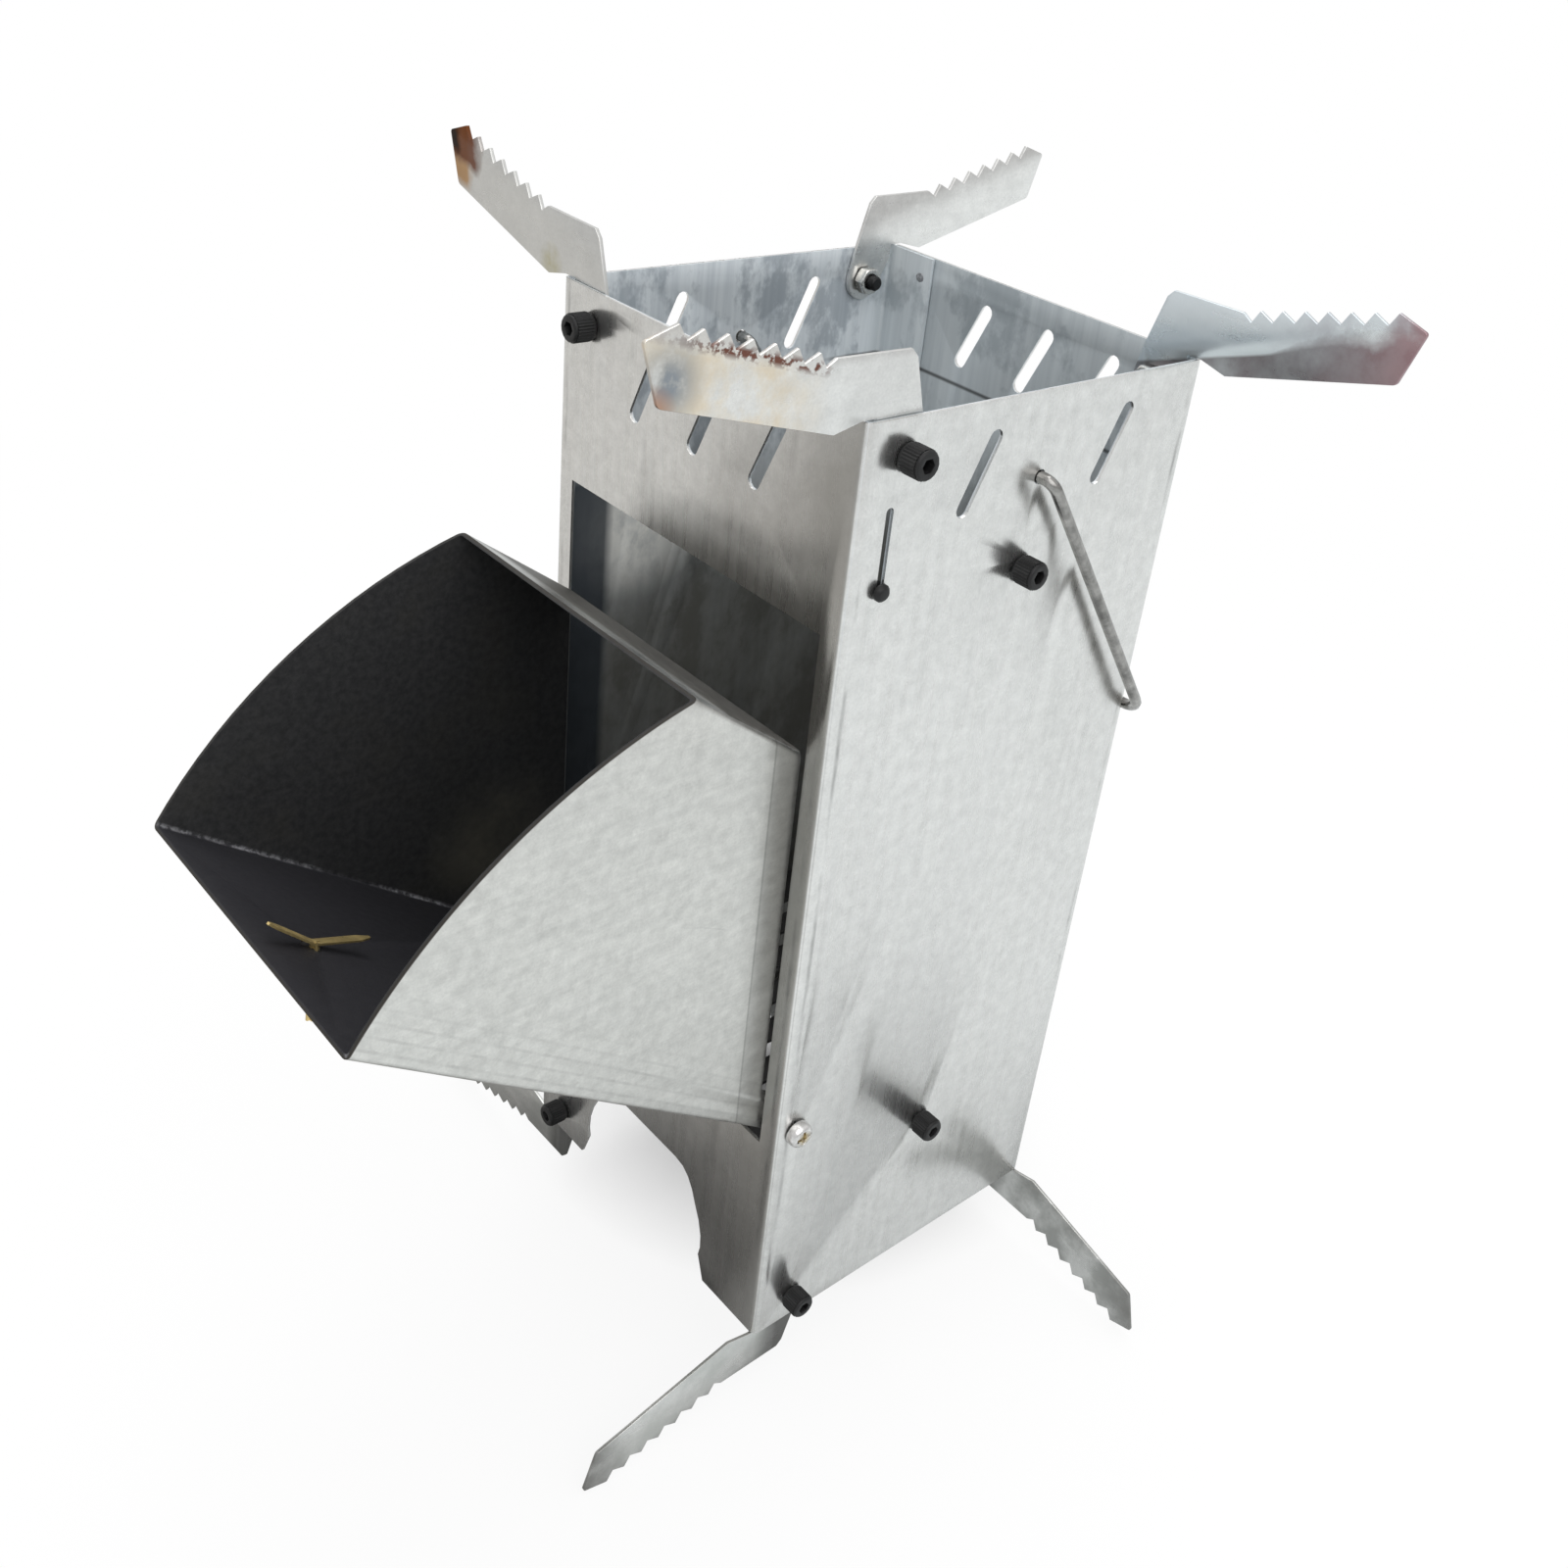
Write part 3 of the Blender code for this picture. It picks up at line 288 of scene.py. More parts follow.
def scratched(tree, place, colour, shade):
    """Adds thin scratches and dark specks to a colour."""
    wavy = noise_at(tree, place, 12.0, (1.0, 1.0, 2.2), 1.2, 0.35, (3, 1, 7))
    line = calculate(tree, "ABSOLUTE", minus(tree, wavy, 0.5))
    where = remap(tree, noise_at(tree, place, 30.0, (1, 1, 1)), 0.55, 0.7, 0.0, 0.45)
    scratches = times(tree, remap(tree, line, 0.0, 0.0011, 1.0, 0.0), where)
    fine = noise_at(tree, place, 420.0, (1.0, 1.0, 0.4), 1.0, 0.4, (1, 4, 2))
    specks = remap(tree, fine, 0.81, 0.85, 0.0, 0.4)
    marks = calculate(tree, "MAXIMUM", scratches, specks)
    return mix(tree, marks, colour, grey(shade))


def add_sheet_bump(tree, shader, place, streaks, level, strength):
    """Slow waves from rolling and handling, with the streaks and patches just felt on top."""
    waves = noise_at(tree, place, 10.0, (1.0, 1.0, 0.4), 1.0, 0.4, (5, 2, 1))
    height = plus(tree, waves, times(tree, streaks, STREAK_RELIEF))
    height = plus(tree, height, times(tree, level, PATCH_RELIEF))
    add_bump(tree, shader, height, strength, WAVE_DEPTH)

# %% [markdown]
# ## The tower's sheet
# One sheet, but two very different sides. Outside it is clean zinc with a smoky shadow over the
# fuel opening, draw marks on the front and a line of dirt along each bend, and the front face is
# tinted a little darker as painted shade. Inside it has gone blue-grey from heat near the rim and
# turns to soot further down. The back wall's inner face is painted darker as shade, and a thin dark
# line runs across the back at one height. By the opening a painted pool of light makes one patch
# nearly white, with a strip of painted deep shade beside it. Sheet lies inside when it is nearer
# the axis than the middle of its own thickness.

# %% Shell finish
SHEET = 0.001
BEND = 0.0022
OPENING_TOP = 0.2275
DARK_LINE_HEIGHT = 0.247
SHELL_METALLIC = 0.96
SHELL_TINT = opaque(
    smoke=(0.20, 0.185, 0.165), haze=(0.40, 0.385, 0.35), corner=(0.30, 0.295, 0.275),
    inner_zinc=(0.80, 0.85, 0.88), streak=(0.50, 0.55, 0.60), mottle=(0.235, 0.28, 0.325),
    back_wall=(0.42, 0.47, 0.48), soot=(0.145, 0.140, 0.122), scraped=(1.0, 0.99, 0.93),
    shade=(0.017, 0.026, 0.039))


def shell_outside(tree, place, axes, along_wall, bright, blotch):
    """Clean zinc, with smoke over the opening, dirt along the bends and painted shade over the
    front face.
    """
    x, y, z = axes
    outer = scratched(tree, place, bright, 0.25)
    front = remap(tree, y, -HALF_WIDTH + 0.2 * SHEET, -HALF_WIDTH + 0.4 * SHEET, 1.0, 0.0)
    leaning = minus(tree, z, times(tree, x, 0.8))
    above = remap(tree, leaning, OPENING_TOP - 0.002, OPENING_TOP + 0.038, 0.60, 0.0)
    smoke = times(tree, front, above, remap(tree, x, -0.014, 0.014),
                  remap(tree, blotch, 0.35, 0.65, 0.6, 1.0))
    outer = mix(tree, smoke, outer, SHELL_TINT.smoke)
    # Painted shade: the whole front face is mixed a little toward a darker warm grey.
    outer = mix(tree, times(tree, front, 0.08), outer, SHELL_TINT.haze)
    corner = times(tree, front, remap(tree, x, 0.038, 0.051, 0.0, 0.42),
                   remap(tree, blotch, 0.35, 0.65, 0.7, 1.0))
    outer = mix(tree, corner, outer, SHELL_TINT.corner)
    dashes = noise_at(tree, place, 90.0, (1, 1, 0.12), 2.0, 0.5, (2, 8, 5))
    draw_marks = times(tree, front, remap(tree, dashes, 0.62, 0.68, 0.0, 0.16))
    outer = mix(tree, draw_marks, outer, grey(0.14))
    dirt = noise_at(tree, place, 60.0, (1, 1, 0.35), 4.0, 0.7, (7, 7, 7))
    bend_line = times(tree, near_value(tree, along_wall, HALF_WIDTH - 1.5 * BEND, 0.0002, 0.0009),
                      remap(tree, dirt, 0.5, 0.66, 0.0, 0.5))
    return mix(tree, bend_line, outer, grey(0.12))


def shell_inside(tree, place, axes, streaks, blotch):
    """Heat colours over soot, painted shade on the back wall and in a strip by the opening, a thin
    dark line, and the mask of a painted pool of light.
    """
    x, y, z = axes
    mottle = noise_at(tree, place, 62.0, (1, 1, 0.7), 5.0, 0.68, (6, 3, 8))
    inner = mix(tree, remap(tree, streaks, 0.35, 0.65, 0.0, 0.5),
                SHELL_TINT.inner_zinc, SHELL_TINT.streak)
    inner = mix(tree, remap(tree, mottle, 0.51, 0.61, 0.0, 0.55), inner, SHELL_TINT.mottle)
    # Painted shade: the back wall's inner face is mixed toward a darker grey.
    inner = mix(tree, remap(tree, y, 0.050, 0.054, 0.0, 0.38), inner, SHELL_TINT.back_wall)
    rising = plus(tree, z, times(tree, blotch, 0.05))
    soot = times(tree, remap(tree, rising, 0.205, 0.268, 0.95, 0.05),
                 remap(tree, mottle, 0.35, 0.65, 0.86, 1.0))
    inner = mix(tree, soot, inner, SHELL_TINT.soot)
    # Painted light: a near-white pool of light on the left wall's inner face by the opening.
    on_left_wall = remap(tree, x, -0.050, -0.046, 1.0, 0.0)
    scraped = times(tree, spot(tree, y, z, (-0.030, 0.208), 0.025), on_left_wall,
                    remap(tree, mottle, 0.38, 0.52, 0.5, 1.0))
    inner = mix(tree, scraped, inner, SHELL_TINT.scraped)
    shade = times(tree, on_left_wall, remap(tree, y, -0.042, -0.039, 1.0, 0.0),
                  remap(tree, z, 0.222, 0.228, 0.85, 0.0))
    inner = mix(tree, shade, inner, SHELL_TINT.shade)
    # A thin dark line at one height across the back of the inner faces.
    thin_dark_line = times(tree, near_value(tree, z, DARK_LINE_HEIGHT, 0.0002, 0.0008),
                      remap(tree, y, 0.032, 0.040, 0.0, 0.8))
    return mix(tree, thin_dark_line, inner, grey(0.03)), scraped


def shell_material():
    material, tree, shader, place = new_material("shell_zinc", ZINC, 0.24, SHELL_METALLIC)
    axes = tower_axes(tree, place)
    size_x, size_y = (calculate(tree, "ABSOLUTE", axis) for axis in axes[:2])
    outermost = calculate(tree, "MAXIMUM", size_x, size_y)
    along_wall = calculate(tree, "MINIMUM", size_x, size_y)
    inside = remap(tree, outermost, HALF_WIDTH - 0.9 * SHEET, HALF_WIDTH - 0.5 * SHEET, 1.0, 0.0)
    blotch = noise_at(tree, place, 26.0, (1, 1, 0.6), 5.0, 0.6, (1, 2, 3))
    bright, streaks, level = zinc_colour(tree, place, ZINC, (60.0, 60.0, 2.5), 260.0, 0.075)
    outer = shell_outside(tree, place, axes, along_wall, bright, blotch)
    inner, scraped = shell_inside(tree, place, axes, streaks, blotch)
    rough = plus(tree, remap(tree, streaks, 0.3, 0.7, 0.24, 0.32), times(tree, inside, 0.22))
    sheen = remap(tree, scraped, 0.0, 0.5, 0.30, 0.0)
    loss = times(tree, inside, minus(tree, SHELL_METALLIC, sheen))
    feed(tree, shader, {"Base Color": mix(tree, inside, outer, inner),
                        "Roughness": rough, "Metallic": minus(tree, SHELL_METALLIC, loss)})
    add_sheet_bump(tree, shader, place, streaks, level, 0.16)
    return material


shell_finish = shell_material()
print("shell finish ready")

# %% [markdown]
# ## The hopper's sheet
# The hopper is a duct, so its own directions matter more than the world's: out along the duct,
# up across it, and sideways. Each is the dot product of the point with a fixed direction. The
# inside is burnt nearly black with a few brown smears, and a thin lighter line runs along the
# creases. The outside is mottled zinc with roll lines near its lower edge, and a darker strip at
# the back with a dark line at its edge: painted shade for a flange bent at another angle. Soot
# also lies on the lid near the tower and along the mouth's cut edge.

# %% Hopper finish
HOPPER_SLOPE = math.radians(36)
screw_low, screw_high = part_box("hopper_screw_right")
HOPPER_PIVOT = Vector((TOWER.x, (screw_low.y + screw_high.y) / 2, (screw_low.z + screw_high.z) / 2))
OUTWARD = Vector((0, -math.cos(HOPPER_SLOPE), math.sin(HOPPER_SLOPE)))
UPWARD = Vector((0, math.sin(HOPPER_SLOPE), math.cos(HOPPER_SLOPE)))
hopper_points = [vertex.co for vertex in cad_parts["hopper"].data.vertices]
hopper_ups = [(point - HOPPER_PIVOT).dot(UPWARD) for point in hopper_points]
DUCT_LOW, DUCT_HIGH = min(hopper_ups), max(hopper_ups)
DUCT_HALF = max(point.x for point in hopper_points)
MOUTH_RADIUS = max((point - HOPPER_PIVOT).yz.length for point in hopper_points)
FOLD_LINE = -0.0148
LID_SOOT_FROM = -0.086
ROLL_LINES = 1900.0
DULL_ZINC = (0.66, 0.66, 0.635)
HOPPER_TINT = opaque(
    deep_soot=(0.020, 0.0205, 0.0215), pale_soot=(0.034, 0.034, 0.035),
    smear=(0.040, 0.037, 0.029), panel_patch=(0.085, 0.081, 0.064),
    floor=(0.026, 0.0255, 0.030), crease=(0.34, 0.34, 0.36), lid_deep=(0.050, 0.047, 0.041),
    lid_pale=(0.105, 0.100, 0.090), mouth=(0.030, 0.027, 0.023))
print("duct from", round(DUCT_LOW, 4), "to", round(DUCT_HIGH, 4), "mouth", round(MOUTH_RADIUS, 4))


def hopper_inside(tree, up, out, side, cloud, fine_soot):
    """Soot with brown smears, a paler patch on the far panel, and a thin lighter line along the
    creases.
    """
    burnt = mix(tree, remap(tree, fine_soot, 0.35, 0.65),
                HOPPER_TINT.deep_soot, HOPPER_TINT.pale_soot)
    smear = remap(tree, cloud, 0.52, 0.78, 0.0, 0.35)
    burnt = mix(tree, smear, burnt, HOPPER_TINT.smear)
    panel_patch = times(tree, spot(tree, out, up, (0.050, 0.020), 0.024),
                        remap(tree, cloud, 0.40, 0.60, 0.3, 1.0))
    burnt = mix(tree, panel_patch, burnt, HOPPER_TINT.panel_patch)
    on_floor = near_value(tree, up, DUCT_LOW + SHEET, 0.0002, 0.0005)
    burnt = mix(tree, times(tree, on_floor, 0.8), burnt, HOPPER_TINT.floor)
    # A thin lighter line along the creases between floor and side panels.
    crease = times(tree, near_value(tree, up, DUCT_LOW + SHEET, 0.0003, 0.0011),
                   near_value(tree, side, DUCT_HALF - SHEET, 0.0003, 0.0011),
                   remap(tree, fine_soot, 0.40, 0.60, 0.1, 0.9),
                   remap(tree, cloud, 0.42, 0.56, 0.08, 1.0))
    return mix(tree, crease, burnt, HOPPER_TINT.crease)


def hopper_outside(tree, place, up, out, side, back, cloud, bright, streaks):
    """Zinc with roll lines, a painted shade strip and line at the back for a bent flange, and a
    dark rim by the mouth.
    """
    outer = scratched(tree, place, bright, 0.3)
    roll_lines = times(tree, remap(tree, calculate(tree, "SINE", times(tree, up, ROLL_LINES)),
                                   0.55, 1.0, 0.0, 0.22),
                       remap(tree, up, DUCT_LOW + 0.008, DUCT_LOW + 0.020, 1.0, 0.0),
                       remap(tree, streaks, 0.4, 0.6, 0.3, 1.0))
    outer = mix(tree, roll_lines, outer, grey(0.22))
    # Painted shade: a darker strip at the back with a dark line along its edge, standing in for a
    # bent flange.
    flange_shade = remap(tree, back, FOLD_LINE, FOLD_LINE + 0.0002, 0.0, 0.22)
    outer = mix(tree, flange_shade, outer, grey(0.30))
    fold_shade = near_value(tree, back, FOLD_LINE, 0.0001, 0.0004)
    outer = mix(tree, times(tree, fold_shade, 0.35), outer, grey(0.10))
    rim = times(tree, remap(tree, out, 0.05, 0.09, 0.5, 1.0),
                remap(tree, cloud, 0.4, 0.6, 0.2, 0.5),
                remap(tree, side, DUCT_HALF - 0.2 * SHEET, DUCT_HALF, 1.0, 0.0))
    return mix(tree, rim, outer, grey(0.05))


def hopper_material():
    material, tree, shader, place = new_material("hopper_zinc", ZINC, 0.3, 0.95)
    local = measured_from(tree, place, HOPPER_PIVOT)
    side = calculate(tree, "ABSOLUTE", reach_along(tree, local, (1, 0, 0)))
    up = reach_along(tree, local, UPWARD)
    out = reach_along(tree, local, OUTWARD)
    back = reach_along(tree, local, (0, 1, 0))
    half_up = (DUCT_HIGH - DUCT_LOW) / 2
    between = near_value(tree, up, DUCT_LOW + half_up, half_up - 0.8 * SHEET,
                         half_up - 0.4 * SHEET)
    inside = times(tree, between, remap(tree, side, DUCT_HALF - 0.8 * SHEET,
                                        DUCT_HALF - 0.4 * SHEET, 1.0, 0.0))
    cloud = noise_at(tree, place, 34.0, (1, 1, 1), 5.0, 0.65, (4, 4, 2))
    fine_soot = noise_at(tree, place, 500.0, (1, 1, 1), 3.0, 0.7)
    bright, streaks, level = zinc_colour(tree, place, DULL_ZINC, (90.0, 8.0, 90.0), 330.0, 0.10)
    burnt = hopper_inside(tree, up, out, side, cloud, fine_soot)
    outer = hopper_outside(tree, place, up, out, side, back, cloud, bright, streaks)

    tower_y = tower_axes(tree, place)[1]
    lid = times(tree, remap(tree, up, DUCT_HIGH - 0.5 * SHEET, DUCT_HIGH - 0.2 * SHEET),
                remap(tree, tower_y, LID_SOOT_FROM, LID_SOOT_FROM + 0.006))
    lid_soot = mix(tree, remap(tree, streaks, 0.35, 0.65),
                   HOPPER_TINT.lid_deep, HOPPER_TINT.lid_pale)
    outer = mix(tree, times(tree, lid, 0.96), outer, lid_soot)
    mouth = remap(tree, slant(tree, up, out), MOUTH_RADIUS - 0.5 * SHEET,
                  MOUTH_RADIUS - 0.2 * SHEET)
    outer = mix(tree, mouth, outer, HOPPER_TINT.mouth)
    burnt_share = calculate(tree, "MAXIMUM", inside, calculate(tree, "MAXIMUM", lid, mouth))
    rough = plus(tree, remap(tree, streaks, 0.3, 0.7, 0.30, 0.42), times(tree, burnt_share, 0.16))
    feed(tree, shader, {"Base Color": mix(tree, inside, outer, burnt),
                        "Roughness": rough,
                        "Metallic": remap(tree, burnt_share, 0.0, 1.0, 0.95, 0.0),
                        "Specular IOR Level": remap(tree, burnt_share, 0.0, 1.0, 0.5, 0.25)})
    add_sheet_bump(tree, shader, place, streaks, level, 0.30)
    return material


hopper_finish = hopper_material()

# %% [markdown]
# ## Heat on the plates
# The arms sit in the flame, and bare steel keeps a record of it: straw where it was warm, then
# red-brown, purple and blue, and burnt soot at the tip. Each arm shows a different record. The
# masks work in the plate's own plane, with the distance out past the tower's side and the
# height over the rim, and noise breaks up their edges. The legs stay cool: they have a dull
# bloom, dirt at the tip that stands on the ground, and soot on the part under the tower.

# %% Plate finishes
OUT_DIRECTION = {"front": (-1, 0, 0), "right": (0, -1, 0), "back": (1, 0, 0), "left": (0, 1, 0)}
TOOTH_RISE = 0.272
TOOTH_LINE = 0.0122
LINE_SLOPE = 0.35
ARM_TINT = opaque(
    grey=(0.52, 0.52, 0.50), tan=(0.47, 0.25, 0.075), brown=(0.120, 0.033, 0.007),
    black=(0.012, 0.008, 0.006), stain=(0.42, 0.37, 0.10), straw=(0.74, 0.60, 0.40),
    valley=(0.115, 0.030, 0.014), blue=(0.20, 0.24, 0.29), orange=(0.50, 0.20, 0.08),
    end=(0.060, 0.045, 0.040), cool=(0.86, 0.95, 1.0), haze=(0.44, 0.43, 0.48),
    purple=(0.195, 0.172, 0.182), red=(0.290, 0.165, 0.182), blush=(0.42, 0.20, 0.21),
    bloom=(0.30, 0.29, 0.28))
LEG_TINT = opaque(bloom=(0.46, 0.49, 0.46), dirt=(0.09, 0.085, 0.08), soot=(0.05, 0.05, 0.047),
                  dull=(0.23, 0.23, 0.22))


def plate_frame(tree, place, wall, rim):
    """Distance out past the tower, height over the rim, and height over the line of teeth."""
    local = measured_from(tree, place, TOWER)
    out = minus(tree, reach_along(tree, local, OUT_DIRECTION[wall]), HALF_WIDTH)
    rise = minus(tree, reach_along(tree, local, (0, 0, 1)), rim)
    tooth_line = plus(tree, times(tree, out, TOOTH_RISE), TOOTH_LINE)
    return out, rise, minus(tree, rise, tooth_line)


def front_heat(tree, colour, noise, out, rise, teeth):
    """Burnt black on the last teeth, red-brown below, tan at its border, a stain at the bend."""
    colour = mix(tree, 0.45, colour, ARM_TINT.grey)
    uneven = times(tree, noise, 0.010)
    reach = plus(tree, out, uneven)
    depth = plus(tree, teeth, times(tree, uneven, 0.6))
    for tint, (out_from, out_to, share), (deep, shallow) in (
            (ARM_TINT.tan, (0.0500, 0.0535, 0.92), (-0.0135, -0.0105)),
            (ARM_TINT.brown, (0.0465, 0.0500, 0.96), (-0.0075, -0.0050)),
            (ARM_TINT.black, (0.0560, 0.0590, 0.96), (-0.0062, -0.0036))):
        mask = times(tree, remap(tree, reach, out_from, out_to, 0.0, share),
                     remap(tree, depth, deep, shallow))
        colour = mix(tree, mask, colour, tint)
    stain = times(tree, spot(tree, out, rise, (0.0075, 0.0015), 0.0055),
                  remap(tree, noise, 0.4, 0.6, 0.0, 0.8))
    return mix(tree, stain, colour, ARM_TINT.stain)


def right_heat(tree, colour, noise, out, rise, teeth):
    """Straw below the teeth, red-brown specks in their valleys, a blue patch by the tip."""
    straw = times(tree, remap(tree, out, 0.010, 0.024),
                  remap(tree, teeth, -0.0022, -0.0050, 0.15, 1.0),
                  remap(tree, noise, 0.38, 0.56, 0.05, 0.62))
    colour = mix(tree, straw, colour, ARM_TINT.straw)
    place = add_node(tree, "ShaderNodeTexCoord").outputs["Object"]
    fine = noise_at(tree, place, 430.0, (1, 1, 1), 4.0, 0.6, (2, 2, 6))
    valley = times(tree, near_value(tree, teeth, -0.0026, 0.0005, 0.0019),
                   remap(tree, out, 0.010, 0.014), remap(tree, out, 0.040, 0.052, 1.0, 0.2),
                   remap(tree, fine, 0.46, 0.53, 0.05, 0.95))
    colour = mix(tree, valley, colour, ARM_TINT.valley)
    blue = times(tree, spot(tree, out, rise, (0.051, 0.015), 0.0095),
                 remap(tree, noise, 0.40, 0.52, 0.25, 0.85))
    colour = mix(tree, blue, colour, ARM_TINT.blue)
    orange = times(tree, spot(tree, out, rise, (0.0545, 0.0095), 0.006), 0.7)
    colour = mix(tree, orange, colour, ARM_TINT.orange)
    end = remap(tree, plus(tree, out, times(tree, teeth, -0.3)), 0.0588, 0.0600, 0.0, 0.85)
    return mix(tree, end, colour, ARM_TINT.end)


def back_heat(tree, colour, noise, out, rise, teeth):
    """Blue-grey, and below a slanting line a purple-brown that reddens outwards."""
    colour = mix(tree, 0.75, colour, ARM_TINT.cool)
    line = minus(tree, rise, times(tree, out, LINE_SLOPE))
    loose = remap(tree, out, 0.018, 0.045, 0.0008, 0.018)
    softness = remap(tree, out, 0.020, 0.048, 0.0010, 0.0070)
    haze = times(tree, remap(tree, out, 0.012, 0.040), remap(tree, noise, 0.40, 0.60, 0.0, 0.55))
    colour = mix(tree, haze, colour, ARM_TINT.haze)
    edge = minus(tree, line, times(tree, minus(tree, noise, 0.42), loose))
    low = times(tree, remap(tree, edge, 0.0002, softness, 1.0, 0.0),
                remap(tree, noise, 0.40, 0.64, 0.95, 0.62))
    tint = mix(tree, remap(tree, out, 0.030, 0.056, 0.0, 0.85), ARM_TINT.purple, ARM_TINT.red)
    colour = mix(tree, low, colour, tint)
    blush = times(tree, remap(tree, plus(tree, out, times(tree, noise, 0.012)),
                              0.050, 0.062, 0.0, 0.45), remap(tree, noise, 0.40, 0.58, 0.3, 1.0))
    return mix(tree, blush, colour, ARM_TINT.blush)


def left_heat(tree, colour, noise, out, rise, teeth):
    """Almost clean, with a grey bloom on the teeth."""
    bloom = times(tree, remap(tree, teeth, -0.006, -0.001, 0.0, 0.4),
                  remap(tree, noise, 0.4, 0.6, 0.2, 1.0))
    return mix(tree, bloom, colour, ARM_TINT.bloom)


def leg_wear(tree, colour, noise, out, rise, teeth):
    """A dull green-grey bloom, dirt on the tip and soot under the tower."""
    colour = mix(tree, remap(tree, noise, 0.4, 0.6, 0.1, 0.45), colour, LEG_TINT.bloom)
    ground = times(tree, remap(tree, out, 0.040, 0.056, 0.0, 0.95),
                   remap(tree, noise, 0.3, 0.6, 0.4, 1.0))
    colour = mix(tree, ground, colour, LEG_TINT.dirt)
    under = remap(tree, out, -0.010, -0.002, 0.9, 0.0)
    return mix(tree, under, colour, LEG_TINT.soot)


def back_leg_wear(tree, colour, noise, out, rise, teeth):
    """The same wear, but duller."""
    colour = leg_wear(tree, colour, noise, out, rise, teeth)
    return mix(tree, remap(tree, noise, 0.4, 0.6, 0.35, 0.70), colour, LEG_TINT.dull)


def plate_material(wall, kind, tinted):
    material, tree, shader, place = new_material(kind + "_plate_" + wall, ZINC, 0.3, 0.96)
    stretch = (8.0, 60.0, 60.0) if wall in ("front", "back") else (60.0, 8.0, 60.0)
    bright, streaks, level = zinc_colour(tree, place, (0.77, 0.77, 0.755), stretch, 210.0, 0.07)
    colour = scratched(tree, place, bright, 0.2)
    noise = noise_at(tree, place, 75.0, (1, 1, 1), 5.0, 0.6, (9, 1, 4))
    rim = HEIGHT if kind == "arm" else 0.0
    colour = tinted(tree, colour, noise, *plate_frame(tree, place, wall, rim))
    lightness = add_node(tree, "ShaderNodeRGBToBW", {0: colour}).outputs[0]
    rough = remap(tree, plus(tree, streaks, noise), 0.7, 1.3, 0.24, 0.40)
    feed(tree, shader, {"Base Color": colour, "Roughness": rough,
                        "Metallic": remap(tree, lightness, 0.03, 0.30, 0.05, 0.96),
                        "Specular IOR Level": remap(tree, lightness, 0.03, 0.30, 0.02, 0.50)})
    add_sheet_bump(tree, shader, place, streaks, level, 0.25)
    return material


ARM_HEAT = {"front": front_heat, "right": right_heat, "back": back_heat, "left": left_heat}
arm_finish = {wall: plate_material(wall, "arm", ARM_HEAT[wall]) for wall in WALLS}
LEG_WEAR = {"front": leg_wear, "right": leg_wear, "back": back_leg_wear, "left": leg_wear}
leg_finish = {wall: plate_material(wall, "leg", LEG_WEAR[wall]) for wall in WALLS}
print("plate finishes", len(arm_finish) + len(leg_finish))

# %% [markdown]
# ## The other finishes
# Black oxide is a thin dark skin on steel with a dull shine. The nuts and the pan head screws
# are bright zinc, the bail is drawn wire, and the pin on the hopper is pressed brass. The grate
# is sheet that fire has blackened.

# %% Screws, wire, brass and soot
FINE_DEPTH = 0.0002


def simple_metal(name, colour, roughness, metallic, noise_scale, spread, bump=0.0):
    """A plain metal whose shade and roughness drift with one noise pattern."""
    material, tree, shader, place = new_material(name, colour, roughness, metallic)
    noise = noise_at(tree, place, noise_scale, (1, 1, 1), 4.0, 0.6)
    darker = (*[channel * (1 - spread) for channel in colour], 1.0)
    lighter = (*[min(1.0, channel * (1 + spread)) for channel in colour], 1.0)
    factor = remap(tree, noise, 0.3, 0.7)
    rough = remap(tree, noise, 0.3, 0.7, roughness * 0.8, roughness * 1.25)
    feed(tree, shader, {"Base Color": mix(tree, factor, darker, lighter), "Roughness": rough})
    if bump:
        add_bump(tree, shader, noise, bump, FINE_DEPTH)
    return material


RECESS_RADIUS = 0.0026


def pan_screw_material():
    """Bright zinc whose cross recess keeps a yellow film."""
    material, tree, shader, place = new_material("pan_screw_zinc", (0.7, 0.7, 0.68), 0.25, 1.0)
    local = measured_from(tree, place, HOPPER_PIVOT)
    noise = noise_at(tree, place, 900.0, (1, 1, 1), 3.0, 0.6)
    film = times(tree, spot(tree, reach_along(tree, local, (0, 1, 0)),
                            reach_along(tree, local, (0, 0, 1)), (0.0, 0.0), RECESS_RADIUS),
                 remap(tree, noise, 0.35, 0.6, 0.4, 1.0))
    bright = mix(tree, remap(tree, noise, 0.3, 0.7), grey(0.80, 0.01), grey(0.58, 0.02))
    colour = mix(tree, film, bright, (0.45, 0.33, 0.07, 1.0))
    feed(tree, shader, {"Base Color": colour})
    add_bump(tree, shader, noise, 0.2, FINE_DEPTH)
    return material


pan_finish = pan_screw_material()
black_finish = simple_metal("black_oxide", (0.008, 0.008, 0.0085), 0.44, 0.25, 700.0, 0.4, 0.3)
zinc_finish = simple_metal("bright_zinc", (0.70, 0.69, 0.66), 0.25, 1.0, 500.0, 0.14, 0.25)
brass_finish = simple_metal("pressed_brass", (0.74, 0.57, 0.25), 0.34, 0.70, 400.0, 0.16, 0.1)
wire_finish = simple_metal("bail_wire", (0.31, 0.304, 0.292), 0.20, 1.0, 220.0, 0.45, 0.2)
soot_finish = simple_metal("sooty_grate", (0.035, 0.034, 0.033), 0.65, 0.4, 60.0, 0.5, 0.4)
weld_finish = simple_metal("weld_spot", (0.42, 0.43, 0.45), 0.5, 0.8, 900.0, 0.5, 0.5)
print("small finishes ready")

